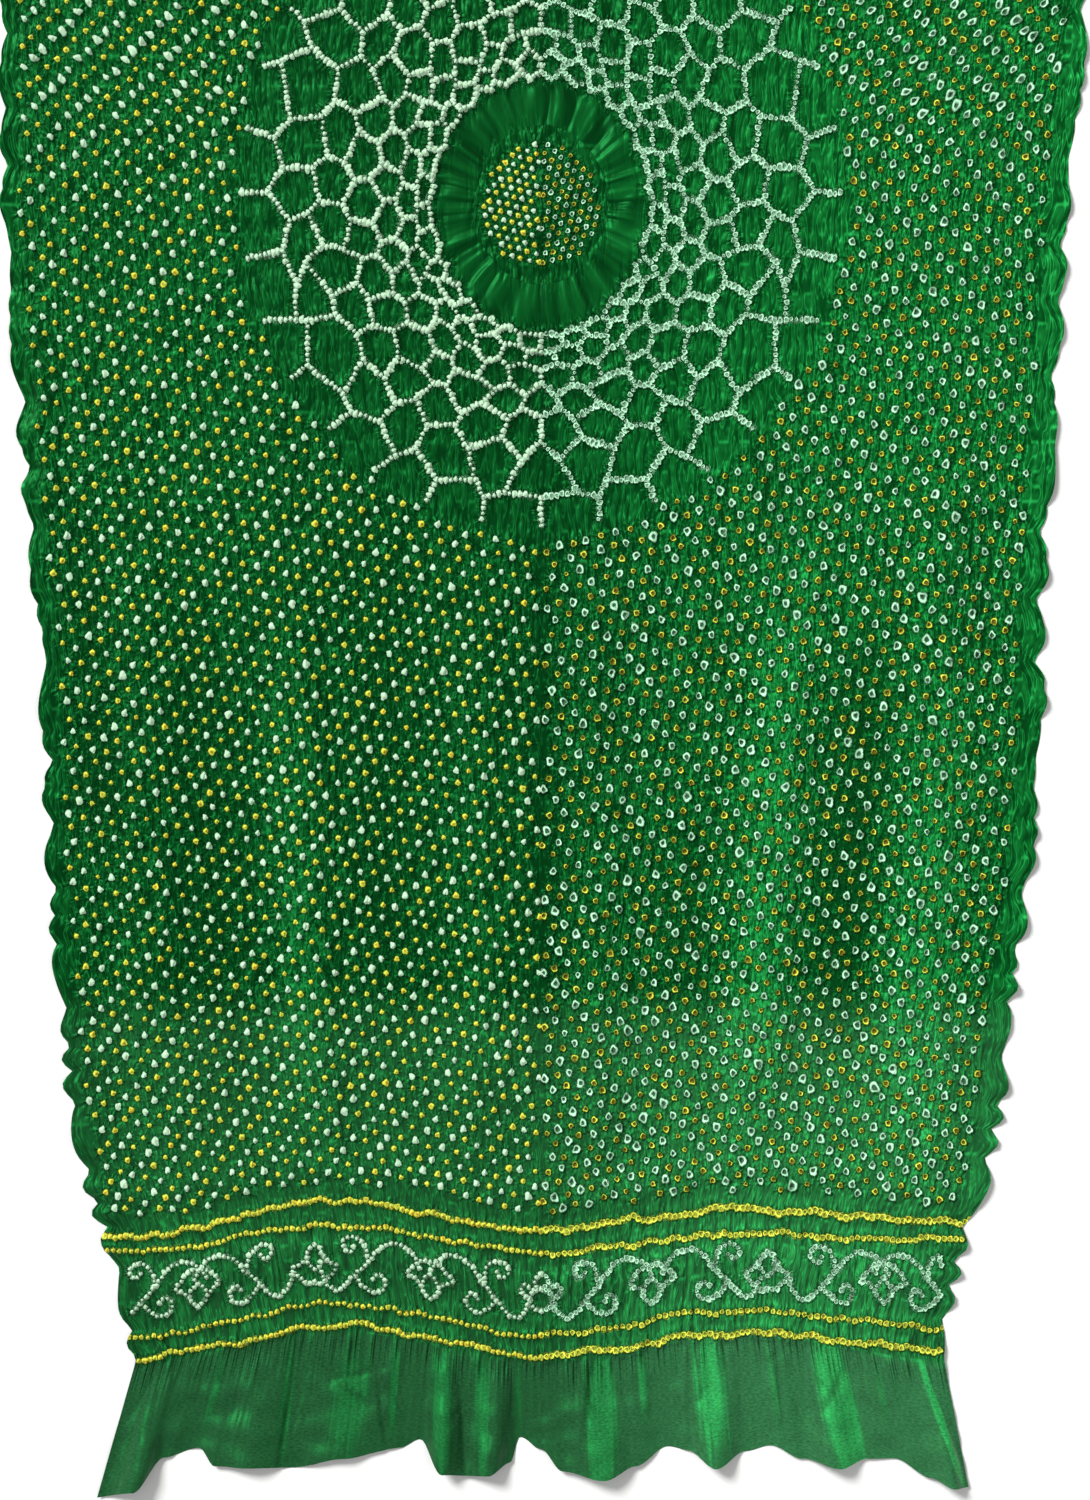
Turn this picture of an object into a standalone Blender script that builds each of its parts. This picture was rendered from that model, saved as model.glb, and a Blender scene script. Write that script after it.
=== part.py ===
"""Bandhani cloth: a long stole of thin, crinkled tie-dyed cloth, laid open on a flat surface.

It is one length of cloth whose hems are turned on the cloth itself. Its ties draw in the field
between two tied borders, so the sides run in scallops and narrow to a waist at each border.
Past the last tied line each plain end opens into a frill of soft folds.
X runs across the cloth, Y along it and Z up. The origin is the cloth's middle on the surface.
"""

from collections import namedtuple
import math

import bmesh
import bpy
import numpy as np

# The cloth, in metres
THICKNESS = 0.0015
WAIST = 0.979  # from the middle to the last tied line, at the sides
ROW_PITCH = 0.049  # the mesh rows of the field
WIDEST_COLUMN = 0.055  # as a share of the half-width
FRILL_ROWS = 4
SIDE_CUTS = 5  # more points on each row's side edge, for the scallops

# The tied lines arch upwards in each half and dip at the centre
BOW = 0.026
BOW_START = 0.30
BOW_FULL = 0.90

# Long scallops along the upper sides, short ones beside the borders
SCALLOP_PITCH = 0.078
RIPPLE_PITCH = 0.034
UNEVEN = 0.35  # how far a wave strays from its even place, as a share of its pitch
DRIFT_WAVES = 3.7  # the waves stray to and fro over this many of them
SIDE_OFFSET = 0.2  # keeps the two sides out of step, in waves
SCALLOP_LIFT = 0.9  # how far a side wave stands up, for each metre that it reaches out

# Half-widths of the drawn-in field, and the depth of the waves in its sides
Station = namedtuple("Station", "along left right scallop ripple")
STATIONS = (
    Station(-0.979, 0.346, 0.339, 0.000, 0.006),
    Station(-0.930, 0.356, 0.347, 0.000, 0.009),
    Station(-0.880, 0.369, 0.358, 0.000, 0.010),
    Station(-0.829, 0.386, 0.377, 0.000, 0.010),
    Station(-0.761, 0.400, 0.391, 0.001, 0.009),
    Station(-0.676, 0.407, 0.398, 0.003, 0.007),
    Station(-0.574, 0.417, 0.413, 0.007, 0.004),
    Station(-0.455, 0.420, 0.424, 0.008, 0.003),
    Station(-0.336, 0.428, 0.424, 0.009, 0.003),
    Station(-0.166, 0.443, 0.436, 0.008, 0.002),
    Station(0.000, 0.456, 0.446, 0.006, 0.002),
    Station(0.090, 0.457, 0.456, 0.006, 0.002),
    Station(0.174, 0.458, 0.463, 0.007, 0.002),
    Station(0.300, 0.452, 0.452, 0.008, 0.002),
    Station(0.450, 0.434, 0.436, 0.009, 0.003),
    Station(0.600, 0.420, 0.418, 0.006, 0.005),
    Station(0.760, 0.402, 0.400, 0.001, 0.009),
    Station(0.880, 0.368, 0.370, 0.000, 0.010),
    Station(0.979, 0.340, 0.346, 0.000, 0.006),
)

# The frilled end from its left corner to its right one: a row for each crest and hollow.
# Reach is measured from the middle of the cloth, and rise is the height of the fold at the hem.
HemPoint = namedtuple("HemPoint", "across reach rise")
HEM = (
    HemPoint(-0.377, 1.098, 0.003),
    HemPoint(-0.345, 1.091, 0.017),
    HemPoint(-0.320, 1.064, 0.002),
    HemPoint(-0.290, 1.056, 0.000),
    HemPoint(-0.277, 1.071, 0.005),
    HemPoint(-0.247, 1.071, 0.013),
    HemPoint(-0.212, 1.073, 0.002),
    HemPoint(-0.167, 1.064, 0.008),
    HemPoint(-0.119, 1.056, 0.001),
    HemPoint(-0.103, 1.049, 0.000),
    HemPoint(-0.084, 1.076, 0.015),
    HemPoint(-0.064, 1.079, 0.006),
    HemPoint(-0.045, 1.077, 0.014),
    HemPoint(-0.026, 1.068, 0.003),
    HemPoint(-0.018, 1.047, 0.000),
    HemPoint(0.000, 1.057, 0.002),
    HemPoint(0.018, 1.075, 0.006),
    HemPoint(0.054, 1.081, 0.015),
    HemPoint(0.080, 1.071, 0.003),
    HemPoint(0.108, 1.055, 0.000),
    HemPoint(0.125, 1.058, 0.002),
    HemPoint(0.148, 1.071, 0.014),
    HemPoint(0.174, 1.059, 0.002),
    HemPoint(0.196, 1.054, 0.000),
    HemPoint(0.222, 1.065, 0.003),
    HemPoint(0.254, 1.071, 0.015),
    HemPoint(0.277, 1.065, 0.002),
    HemPoint(0.300, 1.065, 0.000),
    HemPoint(0.331, 1.081, 0.006),
    HemPoint(0.350, 1.088, 0.013),
    HemPoint(0.363, 1.089, 0.002),
)
FAR_END_RISE = 0.85  # the far frill lies a little flatter

# Soft folds that run along the field, between the places where the cloth lies flat
FieldFold = namedtuple("FieldFold", "start end start_across end_across width rise")
FOLD_FULLNESS = 2.5  # more keeps a fold at its full height nearer to its two ends
FIELD_FOLDS = (
    FieldFold(-0.78, -0.22, -0.330, -0.342, 0.040, 0.0060),
    FieldFold(-0.90, -0.26, -0.186, -0.214, 0.044, 0.0075),
    FieldFold(-0.90, -0.26, -0.058, -0.052, 0.034, 0.0060),
    FieldFold(-0.90, -0.24, 0.052, 0.040, 0.036, 0.0055),
    FieldFold(-0.88, -0.30, 0.170, 0.214, 0.042, 0.0080),
    FieldFold(-0.42, -0.12, 0.212, 0.160, 0.028, 0.0045),
    FieldFold(-0.88, -0.08, 0.298, 0.362, 0.044, 0.0070),
    FieldFold(-0.30, -0.06, -0.424, -0.432, 0.026, 0.0050),
    FieldFold(0.15, 0.82, -0.352, -0.310, 0.042, 0.0065),
    FieldFold(0.26, 0.90, -0.214, -0.184, 0.042, 0.0070),
    FieldFold(0.26, 0.90, -0.052, -0.060, 0.034, 0.0055),
    FieldFold(0.26, 0.90, 0.044, 0.052, 0.036, 0.0060),
    FieldFold(0.20, 0.86, 0.192, 0.168, 0.042, 0.0075),
    FieldFold(0.16, 0.82, 0.338, 0.300, 0.040, 0.0060),
)

# Puffs across the cloth between its tied lines, as distances along it
BandPuff = namedtuple("BandPuff", "along width rise")
BAND_PUFFS = (
    BandPuff(0.916, 0.030, 0.0048),
    BandPuff(0.846, 0.022, 0.0030),
)

# The round centre of the medallion stands a little proud
CENTRE_DISC = 0.062
CENTRE_RISE = 0.0045

# The dyed cloth's finish
CLOTH_GREEN = (0.016, 0.125, 0.030, 1.0)
CLOTH_ROUGHNESS = 0.55


def hump(distance):
    """A soft ridge, 1 at its crest and 0 from a distance of 1 on."""
    return math.cos(min(abs(distance), 1.0) * math.pi / 2) ** 2


def ease(share):
    """A smooth rise from 0 to 1."""
    share = min(max(share, 0.0), 1.0)
    return share * share * (3 - 2 * share)


def between(points, value, key, column):
    """The column of a table at a value of its key, smooth from row to row."""
    keys = [getattr(point, key) for point in points]
    after = int(np.clip(np.searchsorted(keys, value), 1, len(points) - 1))
    low, high = points[after - 1], points[after]
    share = (value - keys[after - 1]) / (keys[after] - keys[after - 1])
    return getattr(low, column) + (getattr(high, column) - getattr(low, column)) * ease(share)


def half_width(along, side):
    """The field's half-width on one side, without its waves."""
    keys = [station.along for station in STATIONS]
    widths = [station.left if side < 0 else station.right for station in STATIONS]
    return float(np.interp(along, keys, widths))


def lobe(along, pitch, side):
    """Rounded lobes with sharp hollows between them, from -0.5 to 0.5, unevenly spaced."""
    turns = along / pitch + side * SIDE_OFFSET
    turns += UNEVEN * math.sin(turns * math.tau / DRIFT_WAVES + side)
    return abs(math.sin(math.pi * turns)) - 0.5


def side_wave(along, side):
    """How far the scalloped side reaches out there, which is below 0 in its hollows."""
    keys = [station.along for station in STATIONS]
    scallop = np.interp(along, keys, [station.scallop for station in STATIONS])
    ripple = np.interp(along, keys, [station.ripple for station in STATIONS])
    return float(scallop * lobe(along, SCALLOP_PITCH, side) + ripple * lobe(along, RIPPLE_PITCH, side))


def bow(share, along):
    """The arch of the tied lines at a share of the half-width from the centre."""
    strength = ease((abs(along) - BOW_START) / (BOW_FULL - BOW_START))
    return BOW * strength * math.sin(math.pi * share) ** 2


def field_rise(across, along):
    """The height of the cloth's underside over the surface, between the two waists."""
    rise = 0.0
    for fold in FIELD_FOLDS:
        if fold.start < along < fold.end:
            middle = (fold.start + fold.end) / 2
            reach = (fold.end - fold.start) / 2
            share = (along - fold.start) / (fold.end - fold.start)
            crest = fold.start_across + (fold.end_across - fold.start_across) * share
            rise = max(rise, fold.rise * hump((across - crest) / fold.width)
                       * min(1.0, FOLD_FULLNESS * hump((along - middle) / reach)))
    for puff in BAND_PUFFS:
        rise = max(rise, puff.rise * hump((abs(along) - puff.along) / puff.width))
    return max(rise, CENTRE_RISE * hump(math.hypot(across, along) / CENTRE_DISC))


def field_point(share, along):
    """A point of the field: share runs from -1 at the left side to 1 at the right one."""
    across = share * half_width(along, share)
    rise = field_rise(across, along)
    if abs(share) == 1:
        wave = side_wave(along, share)
        across += math.copysign(wave, share)
        rise = max(0.0, wave) * SCALLOP_LIFT
    towards_middle = -math.copysign(bow(share, along), along)
    return across, along + towards_middle, rise


def hem_half_width(side):
    """How far the hem's left or right corner is from the middle."""
    return -HEM[0].across if side < 0 else HEM[-1].across


def frill_point(share, down, end):
    """A point of a frilled end: down runs from 0 at the tied line to 1 at the hem."""
    hem_across = share * hem_half_width(share)
    reach = between(HEM, hem_across, "across", "reach")
    rise = between(HEM, hem_across, "across", "rise") * (FAR_END_RISE if end > 0 else 1.0)
    waist_across, waist_along, _ = field_point(share, end * WAIST)
    across = waist_across + (hem_across - waist_across) * down
    along = waist_along + (end * reach - waist_along) * down
    return across, along, rise * ease(down)


def column_shares():
    """Where the mesh columns run: on each crest and hollow of the hem, and midway in the wide ones."""
    shares = [point.across / hem_half_width(point.across) for point in HEM]
    middles = [(low + high) / 2 for low, high in zip(shares, shares[1:]) if high - low > WIDEST_COLUMN]
    return sorted(shares + middles)


def row_places():
    """Where the mesh rows run along the field, from one waist to the other."""
    count = round(2 * WAIST / ROW_PITCH)
    return [float(place) for place in np.linspace(-WAIST, WAIST, count + 1)]


def cloth_mesh():
    """The cloth's underside as one open sheet."""
    shares = column_shares()
    rows = [(-1, 1 - step / FRILL_ROWS) for step in range(FRILL_ROWS)]
    rows += [(0, along) for along in row_places()]
    rows += [(1, (step + 1) / FRILL_ROWS) for step in range(FRILL_ROWS)]
    mesh = bmesh.new()
    bmesh.ops.create_grid(mesh, x_segments=len(shares) - 1, y_segments=len(rows) - 1, size=1)
    for vertex in mesh.verts:
        column = round((vertex.co.x + 1) / 2 * (len(shares) - 1))
        row = round((vertex.co.y + 1) / 2 * (len(rows) - 1))
        end, place = rows[row]
        share = shares[column]
        vertex.co = frill_point(share, place, end) if end else field_point(share, place)
    return mesh


def scallop_sides(mesh):
    """More points on the field's two sides, each moved out or in with the side's waves."""
    sides = [edge for edge in mesh.edges if edge.is_boundary
             and all(abs(vertex.co.y) < WAIST + BOW for vertex in edge.verts)
             and abs(edge.verts[0].co.y - edge.verts[1].co.y) > ROW_PITCH / 2]
    made = bmesh.ops.subdivide_edges(mesh, edges=sides, cuts=SIDE_CUTS)
    for vertex in made["geom_inner"]:
        if isinstance(vertex, bmesh.types.BMVert):
            side = math.copysign(1, vertex.co.x)
            vertex.co = field_point(side, vertex.co.y)
    bmesh.ops.triangulate(mesh, faces=mesh.faces)


def centre_on_surface(mesh):
    """Moves the sheet so that its outline is centred on the origin."""
    points = np.array([vertex.co for vertex in mesh.verts])
    middle = (points.min(axis=0) + points.max(axis=0)) / 2
    bmesh.ops.translate(mesh, verts=mesh.verts, vec=(-middle[0], -middle[1], 0))


def cloth_material():
    """The dyed cloth's green."""
    material = bpy.data.materials.new("dyed_cloth")
    material.use_nodes = True
    shader = material.node_tree.nodes["Principled BSDF"]
    shader.inputs["Base Color"].default_value = CLOTH_GREEN
    shader.inputs["Roughness"].default_value = CLOTH_ROUGHNESS
    shader.inputs["Metallic"].default_value = 0.0
    return material


def build_cloth():
    """The whole cloth as one solid sheet that rests on its flat places."""
    sheet = cloth_mesh()
    scallop_sides(sheet)
    centre_on_surface(sheet)
    bmesh.ops.recalc_face_normals(sheet, faces=sheet.faces)
    if sum(face.normal.z for face in sheet.faces) < 0:
        bmesh.ops.reverse_faces(sheet, faces=sheet.faces)
    data = bpy.data.meshes.new("cloth")
    sheet.to_mesh(data)
    sheet.free()
    data.shade_smooth()
    cloth = bpy.data.objects.new("cloth", data)
    bpy.context.scene.collection.objects.link(cloth)
    data.materials.append(cloth_material())
    layer = cloth.modifiers.new("one_layer", "SOLIDIFY")
    layer.thickness = THICKNESS
    layer.offset = 1.0
    layer.use_even_offset = True


def main():
    """Empties the scene and makes the cloth."""
    for item in list(bpy.data.objects):
        bpy.data.objects.remove(item, do_unlink=True)
    build_cloth()


main()
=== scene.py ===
"""A bandhani cloth, laid open: its crinkled sheet, its knots and its dyes.

The cloth was folded along its middle and tied double, so both halves carry the same knots.
On the left half they stand up as peaks, and on the right half they are hollow rings.
Lengths are metres, apart from what a material reads, which is millimetres where it says so.
"""

import logging
import math
from dataclasses import dataclass
from enum import Enum
from typing import NamedTuple

import bmesh
import bpy
import numpy as np
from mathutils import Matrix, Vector, noise
from mathutils.kdtree import KDTree


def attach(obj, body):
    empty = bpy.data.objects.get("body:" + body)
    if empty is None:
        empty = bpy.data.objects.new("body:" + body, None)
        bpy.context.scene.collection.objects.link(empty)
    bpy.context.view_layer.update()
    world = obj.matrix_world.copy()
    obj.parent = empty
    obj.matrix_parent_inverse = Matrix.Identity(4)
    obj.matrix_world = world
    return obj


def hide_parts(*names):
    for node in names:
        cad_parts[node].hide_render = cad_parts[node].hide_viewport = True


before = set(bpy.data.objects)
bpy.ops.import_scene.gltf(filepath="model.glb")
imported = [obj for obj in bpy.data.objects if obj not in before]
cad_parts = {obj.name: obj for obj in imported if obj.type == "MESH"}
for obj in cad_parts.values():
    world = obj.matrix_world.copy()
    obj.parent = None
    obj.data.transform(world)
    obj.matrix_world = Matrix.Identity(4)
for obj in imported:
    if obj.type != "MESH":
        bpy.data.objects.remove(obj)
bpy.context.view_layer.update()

MM = 1000.0  # millimetres in a metre
OUTLINE_ROWS = 400  # places at which the outline's sides are measured
LOG = logging.getLogger("bandhani")


class Dye(Enum):
    """What a knot kept out of the green dye."""

    WHITE = 0.0
    YELLOW = 1.0


class Station(NamedTuple):
    """The field's half-widths and the depth of its side waves at one place along the cloth."""

    along: float
    left: float
    right: float
    scallop: float
    ripple: float


class HemPoint(NamedTuple):
    """A crest or hollow of a frilled end: its place, its distance from the middle, its height."""

    across: float
    reach: float
    rise: float


class FieldFold(NamedTuple):
    """A soft fold that runs along the field."""

    start: float
    end: float
    start_across: float
    end_across: float
    width: float
    rise: float


class FrillCrease(NamedTuple):
    """A crease in a frill between two points of its width and depth, or a ridge below a depth of 0."""

    across: float
    down: float
    end_across: float
    end_down: float
    width: float
    depth: float


class BandPuff(NamedTuple):
    """A puff right across the cloth between two of its tied lines."""

    along: float
    width: float
    rise: float


class TiedLine(NamedTuple):
    """How far along the cloth a tied line lies, at its two ends, its arches and its middle."""

    left_end: float
    left_arch: float
    middle: float
    right_arch: float
    right_end: float


class Knot(NamedTuple):
    """One knot, or one short stretch of a chain that has a count of knots."""

    across: float
    along: float
    angle: float
    run: float
    pitch: float
    count: int
    radius: float
    stretch: float
    dye: Dye
    lift: float
    group: int


def ease(share: np.ndarray) -> np.ndarray:
    """A smooth rise from 0 to 1."""
    share = np.clip(share, 0.0, 1.0)
    return share * share * (3 - 2 * share)


def hump(distance: np.ndarray) -> np.ndarray:
    """A soft ridge, 1 at its crest and 0 from a distance of 1 on."""
    return np.cos(np.minimum(np.abs(distance), 1.0) * np.pi / 2) ** 2


def eased(keys: np.ndarray, values: np.ndarray, at: np.ndarray) -> np.ndarray:
    """Values between a table's rows, smooth from row to row.

    Args:
        keys: The rows' places, rising.
        values: The rows' values.
        at: The places that are wanted.

    Returns:
        The value at each wanted place.
    """
    after = np.clip(np.searchsorted(keys, at), 1, len(keys) - 1)
    share = (at - keys[after - 1]) / (keys[after] - keys[after - 1])
    return values[after - 1] + (values[after] - values[after - 1]) * ease(share)


def wrinkles(first: np.ndarray, second: np.ndarray, layer: float) -> np.ndarray:
    """Soft noise from -1 to 1.

    Args:
        first: Places one way, in wrinkle widths.
        second: Places the other way, in wrinkle lengths.
        layer: Keeps one set of wrinkles apart from another.

    Returns:
        The noise at each place.
    """
    return np.array([noise.noise(Vector((a, b, layer))) for a, b in zip(first, second)])


class Crinkle(NamedTuple):
    """One layer of fine wrinkles: its height, how many there are each way, and its own draw."""

    height: float
    first_count: float
    second_count: float
    draw: float

    def on(self, first: np.ndarray, second: np.ndarray) -> np.ndarray:
        """The layer's heights at places given by two numbers each."""
        return self.height * wrinkles(first * self.first_count, second * self.second_count, self.draw)


@dataclass(frozen=True)
class LaidForm:
    """The shape in which the cloth lies, as its solid has it: outline, folds and frills, with tables of the
    painted light and shade of its folds and the painted sheen of its frills.
    """

    waist: float = 0.979
    frill: float = 0.110
    bow_depth: float = 0.026
    bow_start: float = 0.30
    bow_full: float = 0.90
    scallop_pitch: float = 0.078
    ripple_pitch: float = 0.034
    uneven: float = 0.35
    drift_waves: float = 3.7
    side_offset: float = 0.2
    side_lift: float = 0.9
    side_reach: float = 0.024
    far_rise: float = 0.85
    fold_fullness: float = 2.5
    disc: float = 0.062
    disc_rise: float = 0.0045
    stations: tuple[Station, ...] = (
        Station(-0.979, 0.346, 0.339, 0.000, 0.006),
        Station(-0.930, 0.356, 0.347, 0.000, 0.009),
        Station(-0.880, 0.369, 0.358, 0.000, 0.010),
        Station(-0.829, 0.386, 0.377, 0.000, 0.010),
        Station(-0.761, 0.400, 0.391, 0.001, 0.009),
        Station(-0.676, 0.407, 0.398, 0.003, 0.007),
        Station(-0.574, 0.417, 0.413, 0.007, 0.004),
        Station(-0.455, 0.420, 0.424, 0.008, 0.003),
        Station(-0.336, 0.428, 0.424, 0.009, 0.003),
        Station(-0.166, 0.443, 0.436, 0.008, 0.002),
        Station(0.000, 0.456, 0.446, 0.006, 0.002),
        Station(0.090, 0.457, 0.456, 0.006, 0.002),
        Station(0.174, 0.458, 0.463, 0.007, 0.002),
        Station(0.300, 0.452, 0.452, 0.008, 0.002),
        Station(0.450, 0.434, 0.436, 0.009, 0.003),
        Station(0.600, 0.420, 0.418, 0.006, 0.005),
        Station(0.760, 0.402, 0.400, 0.001, 0.009),
        Station(0.880, 0.368, 0.370, 0.000, 0.010),
        Station(0.979, 0.340, 0.346, 0.000, 0.006),
    )
    hem: tuple[HemPoint, ...] = (
        HemPoint(-0.377, 1.098, 0.003),
        HemPoint(-0.345, 1.091, 0.017),
        HemPoint(-0.320, 1.064, 0.002),
        HemPoint(-0.290, 1.056, 0.000),
        HemPoint(-0.277, 1.071, 0.005),
        HemPoint(-0.247, 1.071, 0.013),
        HemPoint(-0.212, 1.073, 0.002),
        HemPoint(-0.167, 1.064, 0.008),
        HemPoint(-0.119, 1.056, 0.001),
        HemPoint(-0.103, 1.049, 0.000),
        HemPoint(-0.084, 1.076, 0.015),
        HemPoint(-0.064, 1.079, 0.006),
        HemPoint(-0.045, 1.077, 0.014),
        HemPoint(-0.026, 1.068, 0.003),
        HemPoint(-0.018, 1.047, 0.000),
        HemPoint(0.000, 1.057, 0.002),
        HemPoint(0.018, 1.075, 0.006),
        HemPoint(0.054, 1.081, 0.015),
        HemPoint(0.080, 1.071, 0.003),
        HemPoint(0.108, 1.055, 0.000),
        HemPoint(0.125, 1.058, 0.002),
        HemPoint(0.148, 1.071, 0.014),
        HemPoint(0.174, 1.059, 0.002),
        HemPoint(0.196, 1.054, 0.000),
        HemPoint(0.222, 1.065, 0.003),
        HemPoint(0.254, 1.071, 0.015),
        HemPoint(0.277, 1.065, 0.002),
        HemPoint(0.300, 1.065, 0.000),
        HemPoint(0.331, 1.081, 0.006),
        HemPoint(0.350, 1.088, 0.013),
        HemPoint(0.363, 1.089, 0.002),
    )
    folds: tuple[FieldFold, ...] = (
        FieldFold(-0.78, -0.22, -0.330, -0.342, 0.040, 0.0060),
        FieldFold(-0.90, -0.26, -0.186, -0.214, 0.044, 0.0075),
        FieldFold(-0.90, -0.26, -0.058, -0.052, 0.034, 0.0060),
        FieldFold(-0.90, -0.24, 0.052, 0.040, 0.036, 0.0055),
        FieldFold(-0.88, -0.30, 0.170, 0.214, 0.042, 0.0080),
        FieldFold(-0.42, -0.12, 0.212, 0.160, 0.028, 0.0045),
        FieldFold(-0.88, -0.08, 0.298, 0.362, 0.044, 0.0070),
        FieldFold(-0.30, -0.06, -0.424, -0.432, 0.026, 0.0050),
        FieldFold(0.15, 0.82, -0.352, -0.310, 0.042, 0.0065),
        FieldFold(0.26, 0.90, -0.214, -0.184, 0.042, 0.0070),
        FieldFold(0.26, 0.90, -0.052, -0.060, 0.034, 0.0055),
        FieldFold(0.26, 0.90, 0.044, 0.052, 0.036, 0.0060),
        FieldFold(0.20, 0.86, 0.192, 0.168, 0.042, 0.0075),
        FieldFold(0.16, 0.82, 0.338, 0.300, 0.040, 0.0060),
    )
    creases: tuple[FrillCrease, ...] = (
        FrillCrease(-0.140, 0.30, -0.189, 0.40, 0.0045, 0.0015),
        FrillCrease(-0.200, 0.22, -0.187, 0.40, 0.0040, 0.0011),
        FrillCrease(-0.181, 0.42, -0.150, 0.60, 0.0050, 0.0015),
        FrillCrease(-0.133, 0.48, -0.118, 0.70, 0.0045, 0.0012),
        FrillCrease(-0.292, 0.30, -0.268, 0.52, 0.0050, 0.0010),
        FrillCrease(-0.060, 0.35, -0.084, 0.62, 0.0045, 0.0011),
        FrillCrease(0.037, 0.22, 0.050, 0.50, 0.0045, 0.0012),
        FrillCrease(0.127, 0.66, 0.146, 0.42, 0.0050, 0.0014),
        FrillCrease(0.201, 0.30, 0.222, 0.12, 0.0045, 0.0014),
        FrillCrease(0.244, 0.60, 0.273, 0.22, 0.0050, 0.0015),
        FrillCrease(0.261, 0.46, 0.240, 0.28, 0.0040, 0.0011),
        FrillCrease(0.318, 0.74, 0.284, 0.50, 0.0050, 0.0012),
        FrillCrease(-0.325, 0.02, -0.318, 0.45, 0.0040, -0.0012),
        FrillCrease(-0.304, 0.05, -0.297, 0.60, 0.0040, -0.0012),
        FrillCrease(-0.257, 0.02, -0.266, 0.85, 0.0035, -0.0016),
        FrillCrease(-0.226, 0.02, -0.222, 0.98, 0.0040, 0.0026),
        FrillCrease(-0.205, 0.02, -0.212, 0.75, 0.0035, -0.0016),
        FrillCrease(-0.152, 0.10, -0.131, 0.98, 0.0040, 0.0026),
        FrillCrease(-0.076, 0.04, -0.064, 0.98, 0.0040, 0.0018),
        FrillCrease(-0.058, 0.02, -0.050, 0.98, 0.0035, -0.0018),
        FrillCrease(-0.026, 0.05, -0.020, 0.98, 0.0040, 0.0024),
        FrillCrease(0.046, 0.03, 0.033, 0.98, 0.0045, 0.0024),
        FrillCrease(0.090, 0.02, 0.092, 0.60, 0.0040, -0.0014),
        FrillCrease(0.134, 0.02, 0.127, 0.95, 0.0045, 0.0026),
        FrillCrease(0.176, 0.02, 0.178, 0.80, 0.0040, 0.0018),
        FrillCrease(0.212, 0.02, 0.208, 0.95, 0.0040, 0.0018),
        FrillCrease(0.240, 0.02, 0.246, 0.98, 0.0040, -0.0020),
        FrillCrease(0.336, 0.02, 0.362, 0.98, 0.0035, -0.0022),
    )
    puffs: tuple[BandPuff, ...] = (
        BandPuff(0.916, 0.030, 0.0048),
        BandPuff(0.846, 0.022, 0.0030),
    )
    # Painted light and shade of the field's broad folds: each row's rise is how much lighter (above 0, a
    # crest) or darker (below 0, a trough) the green is painted there, not a height.
    painted_fold_light_bands: tuple[FieldFold, ...] = (
        FieldFold(-0.600, -0.190, -0.365, -0.399, 0.030, -0.26),
        FieldFold(-0.860, -0.300, -0.266, -0.296, 0.044, -0.32),
        FieldFold(-0.870, -0.330, -0.190, -0.218, 0.034, 0.44),
        FieldFold(-0.780, -0.190, -0.127, -0.137, 0.046, -0.18),
        FieldFold(-0.800, -0.380, -0.043, -0.054, 0.030, 0.24),
        FieldFold(-0.830, -0.160, 0.004, 0.003, 0.028, -0.24),
        FieldFold(-0.800, -0.400, 0.062, 0.043, 0.032, 0.16),
        FieldFold(-0.760, -0.480, 0.118, 0.127, 0.044, -0.24),
        FieldFold(-0.870, -0.160, 0.171, 0.226, 0.036, 0.44),
        FieldFold(-0.780, -0.320, 0.238, 0.285, 0.040, -0.50),
        FieldFold(-0.880, -0.336, 0.303, 0.354, 0.044, 0.48),
    )
    # Painted sheen on the frill's crests: each row's depth is how much lighter the frill is painted along it,
    # not a crease.
    painted_frill_sheens: tuple[FrillCrease, ...] = (
        FrillCrease(-0.352, 0.30, -0.358, 0.98, 0.022, 0.25),
        FrillCrease(-0.290, 0.02, -0.290, 0.85, 0.007, 0.50),
        FrillCrease(-0.228, 0.02, -0.222, 0.98, 0.008, 0.75),
        FrillCrease(-0.170, 0.15, -0.168, 0.98, 0.030, 0.65),
        FrillCrease(-0.133, 0.02, -0.128, 0.90, 0.006, 0.75),
        FrillCrease(-0.092, 0.05, -0.084, 0.98, 0.014, 0.95),
        FrillCrease(-0.054, 0.02, -0.050, 0.98, 0.009, 1.00),
        FrillCrease(-0.022, 0.02, -0.020, 0.98, 0.006, 0.60),
        FrillCrease(0.053, 0.02, 0.052, 0.98, 0.021, 1.30),
        FrillCrease(0.092, 0.02, 0.090, 0.65, 0.007, 0.55),
        FrillCrease(0.150, 0.02, 0.148, 0.98, 0.027, 0.66),
        FrillCrease(0.206, 0.05, 0.206, 0.90, 0.007, 0.45),
        FrillCrease(0.258, 0.02, 0.264, 0.98, 0.023, 1.35),
        FrillCrease(0.302, 0.02, 0.300, 0.75, 0.007, 0.45),
        FrillCrease(0.343, 0.02, 0.358, 0.98, 0.005, 1.20),
    )
    # The far half's painted fold light follows its fold heights; the near bands' painted light fades along
    # each band.
    far_painted_light_gain: float = 28.0
    far_level: float = 0.0024
    far_start: float = 0.15
    painted_light_taper: float = 0.6

    def half_width(self, along: np.ndarray, side: np.ndarray) -> np.ndarray:
        """The field's half-width on the side that each place is on.

        Args:
            along: Places along the cloth.
            side: Below 0 for the left side.

        Returns:
            The half-widths without their side waves.
        """
        keys = [station.along for station in self.stations]
        left = np.interp(along, keys, [station.left for station in self.stations])
        right = np.interp(along, keys, [station.right for station in self.stations])
        return np.where(side < 0, left, right)

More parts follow.
